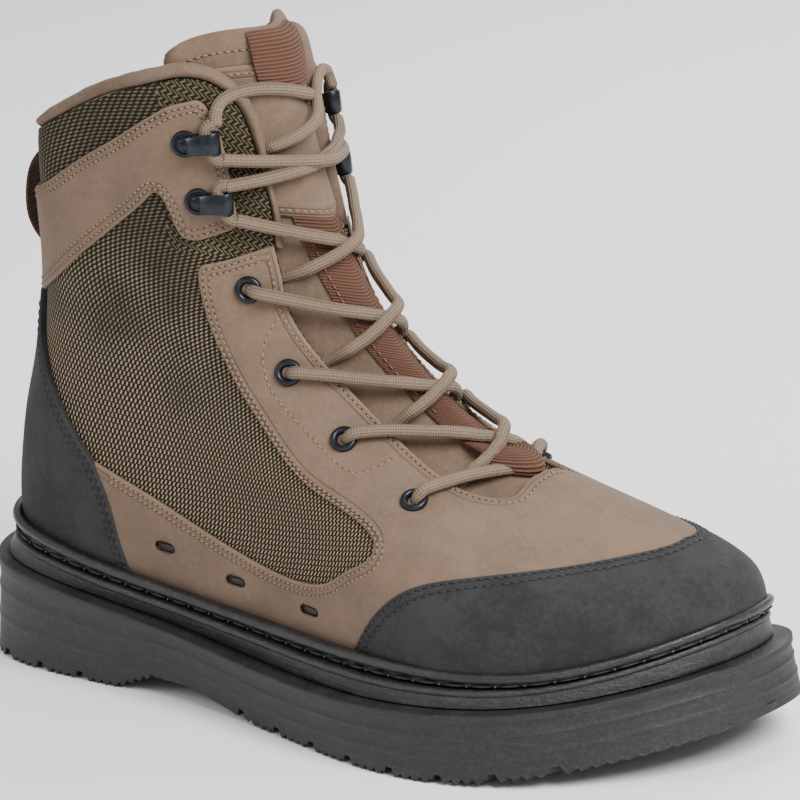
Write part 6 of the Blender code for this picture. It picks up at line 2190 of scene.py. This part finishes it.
    def tube(self, line, above):
        """Braided tube along a line of points, with rounded ends."""
        along = np.gradient(line, axis=0)
        along /= np.linalg.norm(along, axis=1)[:, None]
        out = above - along * (above * along).sum(1)[:, None]
        out /= np.linalg.norm(out, axis=1)[:, None]
        across = np.cross(out, along)
        metres = distance_along(line)
        sides = 20
        turns = np.linspace(0.0, 2 * math.pi, sides + 1)
        start = len(self.verts)
        for k in range(len(line)):
            for turn in turns:
                reach = LACE_RADIUS * 0.98
                self.verts.append(line[k] + out[k] * math.cos(turn) * reach * 0.94
                                  + across[k] * math.sin(turn) * reach * 1.05)
                self.uv.append((metres[k], turn / (2 * math.pi)))
        wide = sides + 1
        for k in range(len(line) - 1):
            for i in range(sides):
                a = start + k * wide + i
                self.faces.append((a, a + wide, a + wide + 1, a + 1))
        for k, flip in ((0, False), (len(line) - 1, True)):
            self.verts.append(line[k] + along[k] * (0.0008 if flip else -0.0008))
            self.uv.append((metres[k], 0.5))
            tip = len(self.verts) - 1
            for i in range(sides):
                a = start + k * wide + i
                self.faces.append((a, a + 1, tip)[::-1] if flip else (a, a + 1, tip))


class WADING_OT_stage(BootOperator, bpy.types.Operator):
    """Set the floor, the soft lights and the camera."""

    bl_idname = "wading.stage"
    bl_label = "Stage"

    def build(self):
        floor = bpy.data.meshes.new("floor")
        floor.from_pydata([(-3, -3, 0), (3, -3, 0), (3, 3, 0), (-3, 3, 0)], [], [(0, 1, 2, 3)])
        floor.materials.append(finish(pale_floor))
        item = bpy.data.objects.new("floor", floor)
        bpy.context.scene.collection.objects.link(item)
        world = bpy.data.worlds.new("studio")
        world.use_nodes = True
        world.node_tree.nodes["Background"].inputs["Color"].default_value = (1.0, 1.0, 1.0, 1.0)
        world.node_tree.nodes["Background"].inputs["Strength"].default_value = 0.56
        bpy.context.scene.world = world
        self.light("key", (1.05, -0.25, 1.10), 0.8, 38.0)
        self.light("side", (-0.65, -0.85, 0.70), 0.6, 4.0)
        self.light("back", (-0.2, 0.95, 0.9), 0.9, 13.0)
        self.camera()

    def light(self, name, place, size, power):
        lamp = bpy.data.lights.new(name, "AREA")
        lamp.energy = power
        lamp.size = size
        item = bpy.data.objects.new(name, lamp)
        item.location = place
        item.rotation_euler = (Vector((0.0, 0.0, 0.08)) - Vector(place)).to_track_quat("-Z", "Y").to_euler()
        bpy.context.scene.collection.objects.link(item)

    def camera(self):
        """Camera at the photograph's angle, turned a little about its own axis."""
        turn, rise, roll = (math.radians(angle) for angle in (CAMERA_TURN, CAMERA_RISE, CAMERA_ROLL))
        back = Vector((math.sin(turn) * math.cos(rise), -math.cos(turn) * math.cos(rise), math.sin(rise)))
        right = Vector((math.cos(turn), math.sin(turn), 0.0))
        up = back.cross(right)
        across = right * math.cos(roll) + up * math.sin(roll)
        above = up * math.cos(roll) - right * math.sin(roll)
        aim = Vector(CAMERA_AIM) - Vector((*CENTRE, 0.0))
        lens = bpy.data.cameras.new("camera")
        lens.lens = FOCAL_LENGTH / PICTURE * SENSOR
        lens.sensor_width = SENSOR
        lens.sensor_fit = "HORIZONTAL"
        lens.shift_x = (PICTURE / 2 - OPTICAL_CENTRE[0]) / PICTURE
        lens.shift_y = (OPTICAL_CENTRE[1] - PICTURE / 2) / PICTURE
        lens.clip_end = 20.0
        item = bpy.data.objects.new("camera", lens)
        place = Matrix.Translation(aim + back * CAMERA_DISTANCE)
        item.matrix_world = place @ Matrix((across, above, back)).transposed().to_4x4()
        bpy.context.scene.collection.objects.link(item)
        bpy.context.scene.camera = item


class WADING_PT_boot(bpy.types.Panel):
    """Wading boot"""

    bl_label = "Wading boot"
    bl_idname = "WADING_PT_boot"
    bl_space_type = "VIEW_3D"
    bl_region_type = "UI"
    bl_category = "Boot"

    def draw(self, context):
        for group in (context.scene.wading_colours, context.scene.wading_sizes):
            box = self.layout.box()
            for key in group.bl_rna.properties.keys():
                if key not in ("rna_type", "name"):
                    box.prop(group, key)
        for operator in OPERATORS:
            self.layout.operator(operator.bl_idname)


OPERATORS = (WADING_OT_stage, WADING_OT_sole, WADING_OT_insole, WADING_OT_upper, WADING_OT_panels,
             WADING_OT_stitches, WADING_OT_collar, WADING_OT_tongue, WADING_OT_heel_loop,
             WADING_OT_eyelets, WADING_OT_hooks, WADING_OT_laces)
CLASSES = (WADING_PG_colours, WADING_PG_sizes, *OPERATORS, WADING_PT_boot)


def register():
    for item in CLASSES:
        bpy.utils.register_class(item)
    bpy.types.Scene.wading_colours = PointerProperty(type=WADING_PG_colours)
    bpy.types.Scene.wading_sizes = PointerProperty(type=WADING_PG_sizes)


def unregister():
    del bpy.types.Scene.wading_sizes
    del bpy.types.Scene.wading_colours
    for item in reversed(CLASSES):
        bpy.utils.unregister_class(item)


SOLE = Sole()
LAST = Last(SOLE)
RULE = Rule()
CENTRE = tuple(SOLE.centre)


def main():
    """Build every piece in order."""
    register()
    bpy.ops.wading.stage()
    bpy.ops.wading.sole()
    bpy.ops.wading.insole()
    bpy.ops.wading.upper()
    bpy.ops.wading.panels()
    bpy.ops.wading.stitches()
    bpy.ops.wading.collar()
    bpy.ops.wading.tongue()
    bpy.ops.wading.heel_loop()
    bpy.ops.wading.eyelets()
    bpy.ops.wading.hooks()
    bpy.ops.wading.laces()


if __name__ == "__main__":
    main()
